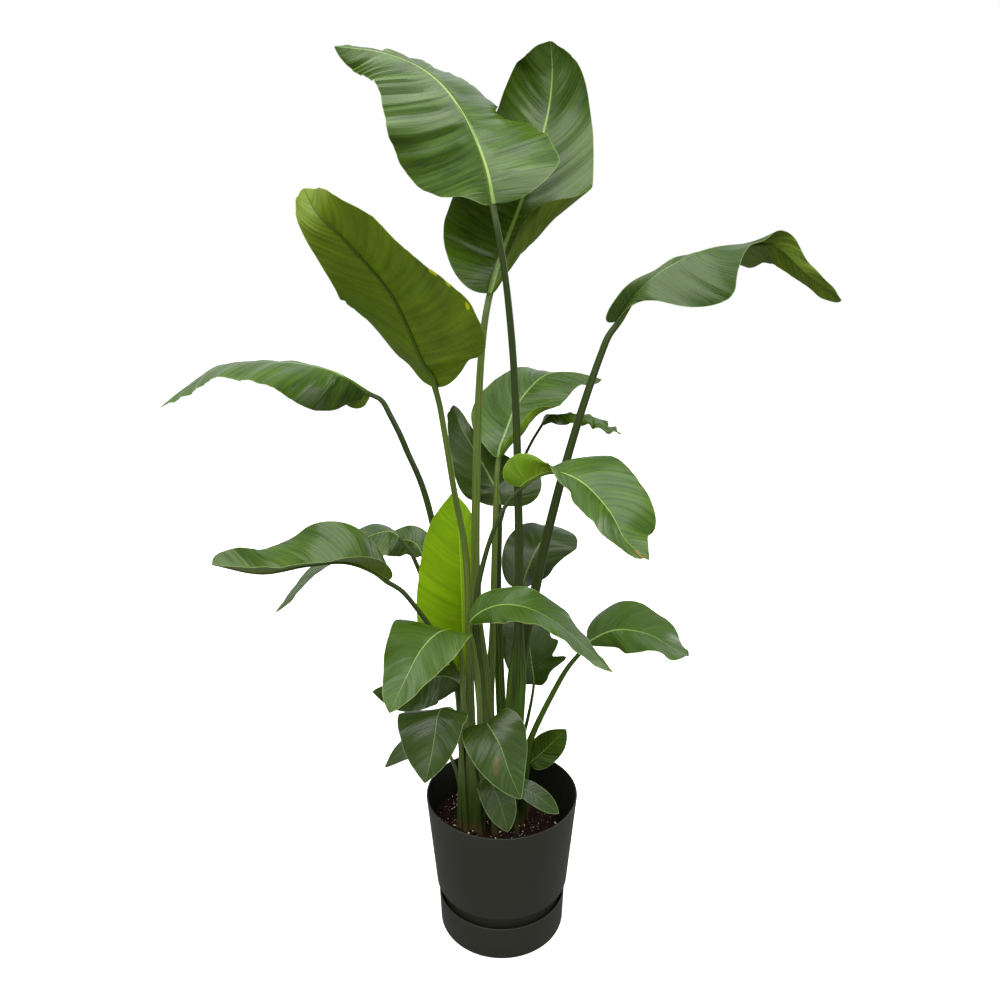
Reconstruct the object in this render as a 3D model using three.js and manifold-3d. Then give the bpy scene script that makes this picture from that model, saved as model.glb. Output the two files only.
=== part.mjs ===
// A potted giant bird of paradise: a round planter body standing in its water tray,
// filled with soil, and a clump of stalked leaves that each stand in a hole of their own.
// Millimetres, +Z up. The origin is on the planter's axis, at the underside of the tray.
// The photograph looks along +Y, so -Y is the front and +X is to the right.
import * as THREE from "three";
import { mergeVertices } from "three/addons/utils/BufferGeometryUtils.js";
import Module from "manifold-3d";

const wasm = await Module();
wasm.setup();

// Planter
const RIM_RADIUS = 147.5;
const RIM_HEIGHT = 278;
const SKIRT_RADIUS = 130;
const SKIRT_HEIGHT = 94;
const WALL = 3;
const FOOT_RADIUS = 117;
const POT_FLOOR = 26;
const FOOT_RING_RADIUS = 92;
const FOOT_NOTCH = 30;
const DRAIN_HOLES = 6;
const DRAIN_HOLE_RADIUS = 5;
const DRAIN_CIRCLE = 60;
const RIM_EDGE = 1;
const ROUND_SIDES = 48;
const HOLE_SIDES = 10;
const PLASTIC = { color: "#2f322f", roughness: 0.55 };

// Water tray
const TRAY_RADIUS = 125.5;
const TRAY_FOOT_RADIUS = 123;
const TRAY_HEIGHT = 68;
const TRAY_WALL = 2.5;
const TRAY_FLOOR = 3;
const EDGE_ROUND = 4;

// Soil
const SOIL_CENTRE = 200;
const SOIL_FALL = 12;
const SOIL_SLOPE = 0.2;
const MOUND_RINGS = [0.75, 0.4];
const ROOT_DEPTH = 32;
const COLLAR = 4;
const EARTH = { color: "#2a1c16", roughness: 0.95 };

// Leaves
const GAP = 0.35;
const BLADE_THICKNESS = 1.2;
const STALK_DEPTH = 0.8;
const WIDEST = 0.36;
const LOBE = 0.35;
const BLUNT = 0.9;
const VEIN_SLANT = 0.25;
const VEIN_CURVE = 1.5;
const FALL_SHAPE = 1.35;
const STALK_TAPER = 1.5;
const CURL_STEPS = 12;
const TIP_WIDTH = 0.025;
const RIB_DEPTH = 1;
const LARGE = { above: 70, rows: 11, shares: [-1, -0.7, -0.35, 0, 0.35, 0.7, 1] };
const SMALL = { rows: 9, shares: [-1, -0.5, 0, 0.5, 1] };
const GREEN = "#3f6a2c";
const GLOSS = 0.45;

// Each leaf is a stalk from its foot in the soil, through the points of stem up to the
// blade, and then along the midrib through the points of rib to the tip. face is where
// the upper side looks. half is half the blade's width, at widest along the midrib.
// left and right are the two halves, seen from above with the tip pointing away. fold is
// how many degrees a half is raised at the midrib, bend how many it turns on from there
// to its margin, and span its share of half. Lists run evenly from the base to the tip.
// lobe is how far the base reaches back, and a lower blunt gives a rounder tip.
const LEAVES = [
  {
    name: "leaf_01_crown_left",
    foot: [10, 0],
    stem: [[25, 5, 440], [32, 0, 670], [25, -20, 1010], [10, -45, 1210], [-14, -60, 1354]],
    rib: [[-33, -35, 1432], [-72, 25, 1520], [-127, 85, 1586], [-204, 130, 1628], [-293, 150, 1645]],
    face: [[0.1, -1, 0.1], [0, -1, 0.35], [-0.1, -0.8, 0.6]],
    half: 128,
    lobe: 0.2,
    left: { fold: [-40, -45, -8, 5, -40], bend: [10, -10, -20], span: [0.5, 1.15, 0.87, 0.62, 0.9] },
    right: {
      fold: [15, 0, -12, -25, -40, -42, -44, -40, -40, -30, -20],
      bend: [-10, -20, 0],
      span: [1.25, 1.3, 1.1, 1.02, 0.8, 1.2, 0.95, 0.64, 0.5, 0.45, 0.5],
    },
    thick: [12, 5],
  },
  {
    name: "leaf_02_crown_back",
    foot: [-25, 35],
    stem: [[-32, 35, 410], [-49, 45, 656], [-46, 55, 935], [-36, 62, 1125], [-21, 70, 1224]],
    rib: [[3, 85, 1300], [42, 112, 1403], [78, 136, 1518], [88, 136, 1590], [84, 120, 1643]],
    face: [[0, -1, 0.1], [0, -1, 0.3], [0, -1, 0]],
    half: 132,
    left: {
      fold: [20, -5, -20, -30, -25, -10, 0],
      bend: [0, 0, 0, 20, 30],
      span: [0.9, 1, 1, 1, 0.8, 0.85, 1.2],
    },
    right: {
      fold: [0, 0, 0, -5, -10, 5, 15],
      bend: [180, 180, 180, 150, 80, 30, 15, 10, 10, 15, 20, 25, 30],
      span: [0.4, 0.4, 0.5, 0.7, 0.85, 0.85, 0.76, 0.68, 0.62, 0.61, 0.62, 0.61, 0.6],
    },
    thick: [12, 6],
  },
  {
    name: "leaf_03_olive_left",
    foot: [-52, -5],
    stem: [[-60, 0, 460], [-61, 0, 590], [-65, -10, 760], [-84, -30, 892], [-109, -60, 1069]],
    rib: [
      [-129, -80, 1114], [-167, -130, 1213], [-220, -185, 1283],
      [-256, -202, 1320], [-286, -155, 1360],
    ],
    face: [[0.1, 0.85, 0.5], [0.1, 0.8, 0.55], [0.1, 0.8, 0.6], [0.1, 0.9, 0.3], [0.1, 0.8, -0.4]],
    half: 98,
    lobe: 0.2,
    left: { fold: [-15, -30, -30, -15, -5], bend: [0], span: [0.9, 1.75, 1.15, 0.58, 0.6] },
    right: { fold: [45, 37, -20, -15, -30], bend: [0], span: [1.3, 1.15, 0.62, 0.5, 0.6] },
    thick: [10, 5],
    color: "#5a7a1e",
  },
  {
    name: "leaf_04_long_right",
    foot: [22, 30],
    stem: [
      [28, 45, 445], [66, 30, 698], [101, 10, 874],
      [136, -10, 1017], [170, -25, 1129], [189, -35, 1174],
    ],
    rib: [
      [240, -50, 1240], [315, -60, 1282], [382, -72, 1293],
      [430, -80, 1288], [474, -85, 1250], [538, -80, 1206],
    ],
    face: [[-0.3, -0.6, 0.7], [-0.2, -0.8, 0.55], [0, -0.6, 0.8], [0.3, 0.8, 0.5], [0.5, 0.7, 0.4]],
    half: 85,
    blunt: 0.5,
    lobe: 0.8,
    left: {
      fold: [85, 60, 0, -45, -62, -60, -30, 10, 30, 20, 10],
      bend: [0],
      span: [0.75, 0.4, 0.12, 0.35, 0.85, 0.92, 0.65, 0.42, 0.36, 0.4, 0.5],
    },
    right: {
      fold: [40, 20, 5, 10, 22, 35, 32, 25, 20, -10, -40],
      bend: [-20, -10, 0],
      span: [0.1, 0.25, 1.05, 1.3, 0.9, 0.5, 0.38, 0.3, 0.22, 0.25, 0.3],
    },
    thick: [13, 6],
  },
  {
    name: "leaf_05_long_left",
    foot: [-66, 60],
    stem: [
      [-80, 95, 460], [-138, 108, 805], [-180, 80, 945],
      [-206, 66, 1010], [-220, 62, 1038], [-238, 60, 1050],
    ],
    rib: [[-305, 50, 1090], [-405, 45, 1106], [-495, 40, 1100], [-560, 30, 1062], [-606, 20, 1026]],
    face: [[0.1, -0.5, 0.85], [0, -0.5, 0.85], [-0.5, -0.3, 0.8]],
    half: 100,
    left: { fold: [-95, 10, 20, 10, -10], bend: [-20, -20, 0], span: [0.5, 1.15, 0.85, 0.75, 0.35] },
    right: { fold: [-95, -35, -35, -20, -20], bend: [-20, -20, 0], span: [1, 1, 0.8, 0.5, 0.4] },
    thick: [8, 5],
  },
  {
    name: "leaf_06_boat_left",
    foot: [-70, 6],
    stem: [[-82, 0, 490], [-106, -20, 583], [-156, -60, 688], [-195, -80, 740]],
    rib: [[-256, -100, 778], [-322, -120, 780], [-394, -140, 772], [-470, -150, 790]],
    face: [[0.2, -0.3, 0.95], [0, -0.3, 0.95], [0, -0.3, 0.95]],
    half: 75,
    blunt: 0.4,
    left: { fold: [80, 40, 37, 47, 45], bend: [0], span: [0.5, 1.1, 1, 0.75, 0.3] },
    right: { fold: [10, 45, 10, 10, 35], bend: [-20, -20, 0], span: [0.75, 0.95, 1.15, 0.95, 0.7] },
    thick: [8, 5],
  },
  {
    name: "leaf_07_left_back",
    foot: [-76, 34],
    stem: [[-95, 80, 490], [-162, 100, 695], [-201, 105, 765]],
    rib: [[-238, 100, 775], [-305, 90, 745], [-375, 70, 690], [-440, 60, 625]],
    face: [[0.1, -0.4, 0.9], [-0.2, -0.4, 0.9], [-0.5, -0.4, 0.8]],
    half: 58,
    left: { fold: [0, -8, 30, 28, -15], bend: [-20, -20, 0], span: [1.5, 1, 1.1, 0.85, 0.6] },
    right: { fold: [-35, -12, -15, -12, -12], bend: [-20, 0, 0], span: [1, 0.95, 0.9, 0.9, 0.95] },
    thick: [7, 4],
  },
  {
    name: "leaf_08_left_far_back",
    foot: [-60, 84],
    stem: [[-96, 115, 530], [-140, 130, 680], [-160, 140, 718]],
    rib: [[-174, 150, 738], [-200, 165, 742], [-235, 185, 728], [-280, 200, 700]],
    face: [[0.1, -0.7, 0.7], [-0.1, -0.6, 0.7], [-0.5, -0.4, 0.8]],
    half: 36,
    left: { fold: [-20, -20, 0], bend: [-20, -20, 0] },
    right: { fold: [10, 0, 0], bend: [-20, 0, 0] },
    thick: [6, 4],
  },
  {
    name: "leaf_09_young_upright",
    foot: [-44, 60],
    stem: [[-66, 75, 430], [-78, 80, 490]],
    rib: [[-79, 87, 564], [-80, 84, 692], [-84, 84, 796], [-93, 90, 858]],
    face: [[0.2, -1, 0], [0.2, -1, 0], [0.1, -1, 0.1]],
    half: 75,
    widest: 0.45,
    left: { fold: [60, 30, 5, 0, 10], bend: [10], span: [1.6, 1.5, 1.1, 0.85, 0.65] },
    right: { fold: [35, 30, 30, 25, 10], bend: [0], span: [0.9, 0.6, 0.55, 0.55, 0.45] },
    thick: [9, 7],
    color: "#8fb81e",
  },
  {
    name: "leaf_10_middle_back",
    foot: [-3, 52],
    stem: [[-24, 55, 407], [-19, 70, 564], [-12, 95, 820], [-7, 110, 922]],
    rib: [[8, 130, 970], [32, 155, 1021], [83, 190, 1071], [142, 216, 1077], [203, 234, 1062]],
    face: [[-0.2, -0.85, 0.5], [-0.1, -0.7, 0.7], [0.2, -0.5, 0.8]],
    half: 85,
    left: { fold: [5, -25, -20, -45, -40], bend: [0, -10, 0], span: [0.4, 1.4, 1.15, 1.1, 1] },
    right: { fold: [30, -5, -10, 10, -5], bend: [120, 150, 0, 0, 0], span: [1, 0.95, 0.85, 0.85, 1.1] },
    thick: [9, 5],
  },
  {
    name: "leaf_11_dark_back",
    foot: [18, 62],
    stem: [[3, 90, 415], [-5, 108, 653], [-4, 120, 826]],
    rib: [[-25, 142, 878], [-54, 168, 925], [-82, 195, 968], [-97, 212, 1011]],
    face: [[0.1, -0.9, 0.3], [0.1, -0.8, 0.5], [0.1, -0.7, 0.6]],
    half: 85,
    left: { fold: [-30, 15, 35, 40, 30], bend: [10, 10, 40], span: [0.85, 0.85, 0.75, 0.7, 0.8] },
    right: { fold: [0, -10, -15, 0, 20], bend: [0], span: [2, 0.8, 0.4, 0.3, 0.4] },
    thick: [7, 4],
  },
  {
    name: "leaf_12_right_middle",
    foot: [-32, 8],
    stem: [[-47, 0, 598], [-46, -15, 685], [-27, -30, 777], [-2, -45, 847], [32, -60, 900]],
    rib: [[82, -80, 930], [131, -110, 918], [172, -145, 878], [195, -175, 838], [230, -190, 811]],
    face: [[-0.2, -0.5, 0.85], [0.1, -0.6, 0.8], [0.6, -0.7, 0.4]],
    half: 78,
    lobe: 1,
    left: { fold: [-40, -7, 22, 7, 10], bend: [-20, -20, 0], span: [0.3, 0.95, 0.95, 1, 0.8] },
    right: {
      fold: [110, 115, 90, 35, 30, 30, 29, 28, 27, 28, 30],
      bend: [30, 0, 0],
      span: [0.9, 0.92, 0.3, 0.75, 1, 1, 0.95, 0.9, 0.85, 0.8, 0.8],
    },
    thick: [8, 4],
  },
  {
    name: "leaf_13_front_arching",
    foot: [-38, -22],
    stem: [[-42, -40, 492], [-50, -60, 600], [-56, -75, 660]],
    rib: [[-13, -95, 698], [40, -125, 707], [92, -155, 690], [142, -185, 655], [178, -205, 628]],
    face: [[-0.1, -0.5, 0.85], [0.1, -0.5, 0.85], [0.5, -0.6, 0.6]],
    half: 50,
    left: { fold: [-10, 15, -15, -30, -40], bend: [-20, -20, 0], span: [1.3, 0.8, 1, 0.87, 0.87] },
    right: { fold: [-35, 0, 35, 33, 5], bend: [-20, -20, 0], span: [0.5, 0.8, 1, 1, 0.8] },
    thick: [7, 4],
  },
  {
    name: "leaf_14_right_low",
    foot: [36, 12],
    stem: [[46, 15, 330], [63, 5, 404], [113, -10, 524], [143, -20, 575], [158, -28, 602]],
    rib: [[203, -50, 635], [256, -75, 638], [302, -100, 619], [323, -110, 612]],
    face: [[-0.1, -0.5, 0.85], [0.1, -0.5, 0.85], [0.4, -0.6, 0.6]],
    half: 62,
    left: { fold: [-10, -5, -5, -25, -40], bend: [-20, -10, 0], span: [1.6, 1.3, 0.95, 0.75, 0.7] },
    right: { fold: [-50, -20, 30, 35, 45], bend: [-20, -20, 0], span: [0.4, 0.65, 1, 0.95, 0.8] },
    thick: [9, 4],
  },
  {
    name: "leaf_15_front_left",
    foot: [-56, -28],
    stem: [[-60, -34, 355], [-71, -45, 498], [-72, -65, 586], [-82, -85, 644]],
    rib: [[-106, -112, 658], [-135, -150, 641], [-156, -185, 608], [-180, -215, 562]],
    face: [[-0.1, -0.4, 0.9], [-0.2, -0.6, 0.75], [-0.2, -0.9, 0.3]],
    half: 60,
    left: { fold: [40, -10, -10, 10, 15], bend: [0], span: [1.25, 0.95, 0.85, 0.8, 0.8] },
    right: { fold: [-40, -5, 40, 15, 5], bend: [0], span: [0.7, 1.15, 1, 0.85, 1.1] },
    thick: [7, 4],
  },
  {
    name: "leaf_16_under_left",
    foot: [-82, -24],
    stem: [[-76, -26, 435], [-74, -40, 515]],
    rib: [[-100, -45, 542], [-135, -60, 544], [-180, -82, 530], [-228, -100, 540]],
    face: [[-0.1, -0.4, 0.9], [-0.2, -0.5, 0.85], [-0.3, -0.5, 0.8]],
    half: 38,
    left: { fold: [-20, -20, 0], bend: [-20, -20, 0], span: [1.3] },
    right: { fold: [-10, -10, 0], bend: [-20, -20, 0] },
    thick: [6, 4],
  },
  {
    name: "leaf_17_rim_left",
    foot: [-70, -32],
    stem: [[-74, -36, 345], [-84, -62, 473], [-103, -88, 504]],
    rib: [[-112, -110, 500], [-117, -133, 470], [-124, -152, 432], [-132, -162, 400]],
    face: [[-0.1, -0.3, 0.95], [-0.1, -0.75, 0.6], [-0.1, -0.9, 0.3]],
    half: 50,
    lobe: 0.45,
    widest: 0.22,
    left: { fold: [0, 15, 10, -12, -12], bend: [0], span: [1.35, 1.1, 0.9, 0.7, 0.55] },
    right: { fold: [-40, 10, 20, 0, 0], bend: [0], span: [1, 1.35, 1.2, 1.05, 1] },
    thick: [6, 4],
  },
  {
    name: "leaf_18_rim_front",
    foot: [-14, -30],
    stem: [[-14, -34, 350], [-24, -62, 440], [-28, -88, 472]],
    rib: [[-18, -112, 472], [-1, -135, 450], [13, -155, 417], [33, -170, 375]],
    face: [[0, -0.3, 0.95], [0.1, -0.7, 0.7], [0.2, -0.95, 0.2]],
    half: 58,
    left: { fold: [28, 10, -15, -18, -10], bend: [0], span: [1.1, 1, 0.85, 0.73, 0.6] },
    right: { fold: [0, 5, 5, -3, -5], bend: [0], span: [1.2, 1.05, 0.93, 0.8, 0.8] },
    thick: [7, 4],
  },
  {
    name: "leaf_19_rim_right",
    foot: [48, 34],
    stem: [[48, 38, 252], [50, 41, 285], [55, 42, 308]],
    rib: [[72, 42, 325], [90, 40, 345], [108, 35, 368], [127, 30, 392]],
    face: [[-0.3, -0.95, 0.3], [-0.2, -0.95, 0.2], [0, -1, 0.2]],
    half: 30,
    left: { fold: [0], bend: [0] },
    right: { fold: [0], bend: [0] },
    thick: [6, 4],
  },
  {
    name: "leaf_20_soil_front",
    foot: [-42, -38],
    stem: [[-44, -46, 280], [-36, -54, 336]],
    rib: [[-22, -68, 340], [-8, -84, 320], [3, -97, 292], [11, -108, 264]],
    face: [[0.1, -0.6, 0.8], [0, -0.8, 0.6], [0.1, -0.9, 0.3]],
    half: 31,
    lobe: 0.6,
    left: { fold: [0], bend: [0] },
    right: { fold: [0], bend: [0] },
    thick: [5, 4],
  },
  {
    name: "leaf_21_soil_right",
    foot: [30, -22],
    stem: [[26, -28, 262], [22, -38, 310]],
    rib: [[44, -48, 312], [68, -54, 300], [90, -58, 284], [108, -60, 268]],
    face: [[0, -0.7, 0.7], [0.1, -0.7, 0.7], [0.3, -0.7, 0.6]],
    half: 19,
    left: { fold: [0], bend: [0] },
    right: { fold: [0], bend: [0] },
    thick: [5, 4],
  },
  {
    name: "leaf_22_rim_far_left",
    foot: [-76, -8],
    stem: [[-84, -4, 300], [-100, 4, 348], [-118, 14, 366]],
    rib: [[-140, 20, 370], [-168, 20, 366], [-200, 14, 350], [-230, 8, 322]],
    face: [[-0.1, -0.5, 0.9], [-0.2, -0.5, 0.9], [-0.5, -0.5, 0.7]],
    half: 26,
    left: { fold: [0], bend: [0] },
    right: { fold: [0], bend: [0] },
    thick: [5, 3],
  },
  {
    name: "leaf_23_right_back",
    foot: [50, 58],
    stem: [[38, 96, 413], [41, 130, 581], [43, 147, 645]],
    rib: [[57, 163, 690], [84, 188, 735], [108, 215, 748], [128, 245, 745]],
    face: [[-0.1, -0.95, 0.3], [0, -0.8, 0.6], [0.1, -0.3, 0.95]],
    half: 66,
    left: { fold: [0, 0, -20, -20, -5], bend: [0], span: [1, 1, 0.95, 0.87, 0.75] },
    right: { fold: [-90, -20, 0, 5, 5], bend: [0], span: [1.4, 0.8, 1.05, 1.15, 1.5] },
    thick: [7, 4],
  },
  {
    name: "leaf_24_low_back",
    foot: [28, 82],
    stem: [[34, 96, 290], [54, 104, 375], [66, 108, 450]],
    rib: [[62, 125, 490], [55, 145, 530], [48, 165, 565], [42, 190, 590]],
    face: [[0, -0.95, 0.2], [0, -0.9, 0.4], [0, -0.7, 0.7]],
    half: 58,
    left: { fold: [0], bend: [0] },
    right: { fold: [20, 10, 0], bend: [30, 10, 0] },
    thick: [6, 3],
  },
  {
    name: "leaf_25_thin_right_back",
    foot: [2, 86],
    stem: [[-14, 172, 636], [8, 196, 810], [80, 208, 972]],
    rib: [[118, 204, 994], [178, 190, 992], [206, 172, 974], [236, 158, 960]],
    face: [[0, -0.5, 0.9], [0, -0.3, 0.95], [0.4, -0.3, 0.9]],
    half: 24,
    left: { fold: [-40, -30, 0], bend: [0, 0, 0] },
    right: { fold: [-40, -30, 0], bend: [0, 0, 0] },
    thick: [6, 3],
  },
];

const radians = THREE.MathUtils.degToRad;
const clamp = THREE.MathUtils.clamp;
const vector = (point) => new THREE.Vector3(...point);

// A closed geometry as a solid that can be cut.
function solid(geometry) {
  const bare = geometry.clone();
  bare.deleteAttribute("normal");
  bare.deleteAttribute("uv");
  const merged = mergeVertices(bare, 1e-3);
  return new wasm.Manifold(
    new wasm.Mesh({
      numProp: 3,
      vertProperties: merged.attributes.position.array,
      triVerts: new Uint32Array(merged.index.array),
    }),
  );
}

function geometryOf(cut) {
  const mesh = cut.getMesh();
  const geometry = new THREE.BufferGeometry();
  geometry.setAttribute("position", new THREE.BufferAttribute(mesh.vertProperties, 3));
  geometry.setIndex(new THREE.BufferAttribute(mesh.triVerts, 1));
  return geometry;
}

// A profile of [radius, height] turned about the Z axis.
function turned(profile) {
  const points = profile.map(([r, z]) => new THREE.Vector2(r, z));
  return new THREE.LatheGeometry(points, ROUND_SIDES).rotateX(Math.PI / 2);
}

function cylinder(radius, height, x, y, bottom) {
  const rod = new THREE.CylinderGeometry(radius, radius, height, HOLE_SIDES);
  return rod.rotateX(Math.PI / 2).translate(x, y, bottom + height / 2);
}

// The planter body: a tapered wall that overhangs a narrower foot, a floor with drain
// holes, and a notched ring under the floor that stands in the tray's water.
function planterBody() {
  const shelf = SKIRT_HEIGHT + WALL;
  const foot = TRAY_FLOOR + GAP;
  const profile = [
    [0, POT_FLOOR],
    [FOOT_RING_RADIUS - WALL, POT_FLOOR],
    [FOOT_RING_RADIUS - WALL, foot],
    [FOOT_RING_RADIUS, foot],
    [FOOT_RING_RADIUS, POT_FLOOR],
    [FOOT_RADIUS, POT_FLOOR],
    [FOOT_RADIUS, SKIRT_HEIGHT],
    [SKIRT_RADIUS, SKIRT_HEIGHT],
    [RIM_RADIUS, RIM_HEIGHT - RIM_EDGE],
    [RIM_RADIUS - RIM_EDGE, RIM_HEIGHT],
    [RIM_RADIUS - WALL, RIM_HEIGHT],
    [SKIRT_RADIUS - WALL, shelf],
    [FOOT_RADIUS - WALL, shelf],
    [FOOT_RADIUS - WALL, POT_FLOOR + WALL],
    [0, POT_FLOOR + WALL],
  ];
  let body = solid(turned(profile));
  for (let i = 0; i < DRAIN_HOLES; i++) {
    const angle = (2 * Math.PI * i) / DRAIN_HOLES;
    const x = DRAIN_CIRCLE * Math.cos(angle);
    const y = DRAIN_CIRCLE * Math.sin(angle);
    const hole = cylinder(DRAIN_HOLE_RADIUS, 4 * WALL, x, y, POT_FLOOR - WALL);
    body = body.subtract(solid(hole));
  }
  const across = new THREE.BoxGeometry(3 * FOOT_RING_RADIUS, FOOT_NOTCH, POT_FLOOR - WALL);
  for (const turn of [0, Math.PI / 2]) {
    body = body.subtract(solid(across.clone().rotateZ(turn)));
  }
  return geometryOf(body);
}

// The water tray: a round dish with a softened lower edge and a thin rim.
function waterTray() {
  const profile = [[0, 0]];
  for (let i = 0; i <= 3; i++) {
    const angle = ((i / 3) * Math.PI) / 2;
    profile.push([
      TRAY_FOOT_RADIUS - EDGE_ROUND + EDGE_ROUND * Math.sin(angle),
      EDGE_ROUND - EDGE_ROUND * Math.cos(angle),
    ]);
  }
  profile.push([TRAY_RADIUS, TRAY_HEIGHT - RIM_EDGE]);
  profile.push([TRAY_RADIUS - RIM_EDGE, TRAY_HEIGHT]);
  profile.push([TRAY_RADIUS - TRAY_WALL, TRAY_HEIGHT]);
  profile.push([TRAY_FOOT_RADIUS - TRAY_WALL, EDGE_ROUND + TRAY_FLOOR]);
  profile.push([TRAY_FOOT_RADIUS - TRAY_WALL - EDGE_ROUND, TRAY_FLOOR]);
  profile.push([0, TRAY_FLOOR]);
  return turned(profile);
}

// The soil's top is a low mound that falls away to the right.
function soilTop(x, y) {
  const r = Math.hypot(x, y) / (RIM_RADIUS - WALL);
  return SOIL_CENTRE - SOIL_FALL * r * r - SOIL_SLOPE * x;
}

// The soil fills the planter, and has a plain hole for each stalk.
function soilBody() {
  const shelf = SKIRT_HEIGHT + WALL;
  const slope = (RIM_RADIUS - SKIRT_RADIUS) / (RIM_HEIGHT - shelf);
  const wallAt = (z) => SKIRT_RADIUS - WALL - GAP + slope * (z - shelf);
  const low = POT_FLOOR + WALL + GAP;
  const edge = wallAt(SOIL_CENTRE - SOIL_FALL - SOIL_SLOPE * RIM_RADIUS);
  const profile = [
    [0, low],
    [FOOT_RADIUS - WALL - GAP, low],
    [FOOT_RADIUS - WALL - GAP, shelf + GAP],
    [wallAt(shelf + GAP), shelf + GAP],
    [edge, SOIL_CENTRE],
    ...MOUND_RINGS.map((share) => [edge * share, SOIL_CENTRE]),
    [0, SOIL_CENTRE],
  ];
  const mound = turned(profile);
  const place = mound.attributes.position;
  for (let i = 0; i < place.count; i++) {
    if (place.getZ(i) > shelf + WALL) {
      place.setZ(i, soilTop(place.getX(i), place.getY(i)));
    }
  }
  let soil = solid(mound);
  for (const leaf of LEAVES) {
    const [x, y] = leaf.foot;
    const bottom = soilTop(x, y) - ROOT_DEPTH - GAP;
    const radius = (leaf.thick[0] + GAP) / Math.cos(Math.PI / HOLE_SIDES);
    soil = soil.subtract(solid(cylinder(radius, 2 * ROOT_DEPTH, x, y, bottom)));
  }
  return geometryOf(soil);
}

// A smooth value at t through values that are evenly spaced from 0 to 1.
function through(values, t) {
  const points = values.map((value) => new THREE.Vector2(value, 0));
  return points.length > 1 ? new THREE.SplineCurve(points).getPoint(t).x : values[0];
}

// Half width along the blade: a quarter ellipse up to the widest place, then a cosine
// that runs out to the tip, blunter for a low power.
function halfWidth(leaf, t) {
  const widest = leaf.widest ?? WIDEST;
  const rise = Math.sqrt(1 - (1 - t / widest) ** 2);
  const past = clamp((t - widest) / (1 - widest), 0, 1);
  const fall = Math.cos((Math.PI / 2) * past ** FALL_SHAPE) ** (leaf.blunt ?? BLUNT);
  return leaf.half * (TIP_WIDTH + (1 - TIP_WIDTH) * (t < widest ? rise : fall));
}

// The stalk and midrib as one curve, and the share of it that is stalk.
function spine(leaf) {
  const [x, y] = leaf.foot;
  const points = [[x, y, soilTop(x, y) + COLLAR], ...leaf.stem, ...leaf.rib].map(vector);
  const curve = new THREE.CatmullRomCurve3(points, false, "catmullrom", 0.5);
  return { curve, joint: leaf.stem.length / (points.length - 1) };
}

// Where the upper side looks at t, square to the midrib.
function frameAt(leaf, curve, u, t) {
  const looks = leaf.face.map(vector);
  const face = new THREE.CatmullRomCurve3(looks, false, "catmullrom", 0.5).getPoint(t);
  const along = curve.getTangent(u);
  face.addScaledVector(along, -face.dot(along)).normalize();
  const side = new THREE.Vector3().crossVectors(along, face);
  return { point: curve.getPoint(u), along, face, side };
}

// A point of the blade at t along the midrib and s across, from -1 to 1. Each half leaves
// the midrib at its fold angle and turns by its bend, more and more towards the margin.
// It slants along the midrib as its side veins do, and back into a lobe at the base.
function bladePoint(leaf, curve, joint, t, s) {
  const { point, along, face, side } = frameAt(leaf, curve, joint + (1 - joint) * t, t);
  const half = s < 0 ? leaf.left : leaf.right;
  const across = Math.abs(s);
  const width = halfWidth(leaf, t) * through(half.span ?? [1], t);
  const fold = radians(through(half.fold, t));
  const bend = radians(through(half.bend, t));
  const step = (width * across) / CURL_STEPS;
  let out = 0;
  let lift = 0;
  for (let k = 0; k < CURL_STEPS; k++) {
    const angle = fold + bend * ((across * (k + 0.5)) / CURL_STEPS) ** 2;
    out += step * Math.cos(angle);
    lift += step * Math.sin(angle);
  }
  const near = clamp(1 - t / (leaf.widest ?? WIDEST), 0, 1) ** 2;
  const slant = VEIN_SLANT * (1 - near) - (leaf.lobe ?? LOBE) * near;
  return point
    .addScaledVector(side, Math.sign(s) * out)
    .addScaledVector(face, lift)
    .addScaledVector(along, slant * width * across ** VEIN_CURVE);
}

// One ring of the stalk: round, and flatter across the side that the blade faces.
function stalkRing(centre, side, face, radius, columns) {
  const ring = [];
  for (let k = 0; k < 2 * columns; k++) {
    const angle = Math.PI - ((k + 0.5) * Math.PI) / columns;
    ring.push(
      centre
        .clone()
        .addScaledVector(side, radius * Math.cos(angle))
        .addScaledVector(face, radius * STALK_DEPTH * Math.sin(angle)),
    );
  }
  return ring;
}

// The blade's rings: its upper side from left to right, then its lower side back.
function bladeRings(leaf, curve, joint, rows, shares) {
  const places = [];
  for (let i = 0; i <= rows; i++) {
    const t = 0.5 - 0.5 * Math.cos((Math.PI * i) / rows);
    places.push(shares.map((s) => bladePoint(leaf, curve, joint, t, s)));
  }
  const last = shares.length - 1;
  const rings = [];
  for (let i = 0; i <= rows; i++) {
    const t = 0.5 - 0.5 * Math.cos((Math.PI * i) / rows);
    const upper = [];
    const lower = [];
    for (let j = 0; j <= last; j++) {
      const across = places[i][Math.min(j + 1, last)].clone().sub(places[i][Math.max(j - 1, 0)]);
      const along = places[Math.min(i + 1, rows)][j].clone().sub(places[Math.max(i - 1, 0)][j]);
      const normal = across.cross(along).normalize();
      const rib = shares[j] === 0 ? leaf.thick[1] * (1 - t) + RIB_DEPTH : 0;
      upper.push(places[i][j].clone().addScaledVector(normal, BLADE_THICKNESS / 2));
      lower.unshift(places[i][j].clone().addScaledVector(normal, -BLADE_THICKNESS / 2 - rib));
    }
    rings.push([...upper, ...lower]);
  }
  return rings;
}

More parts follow.
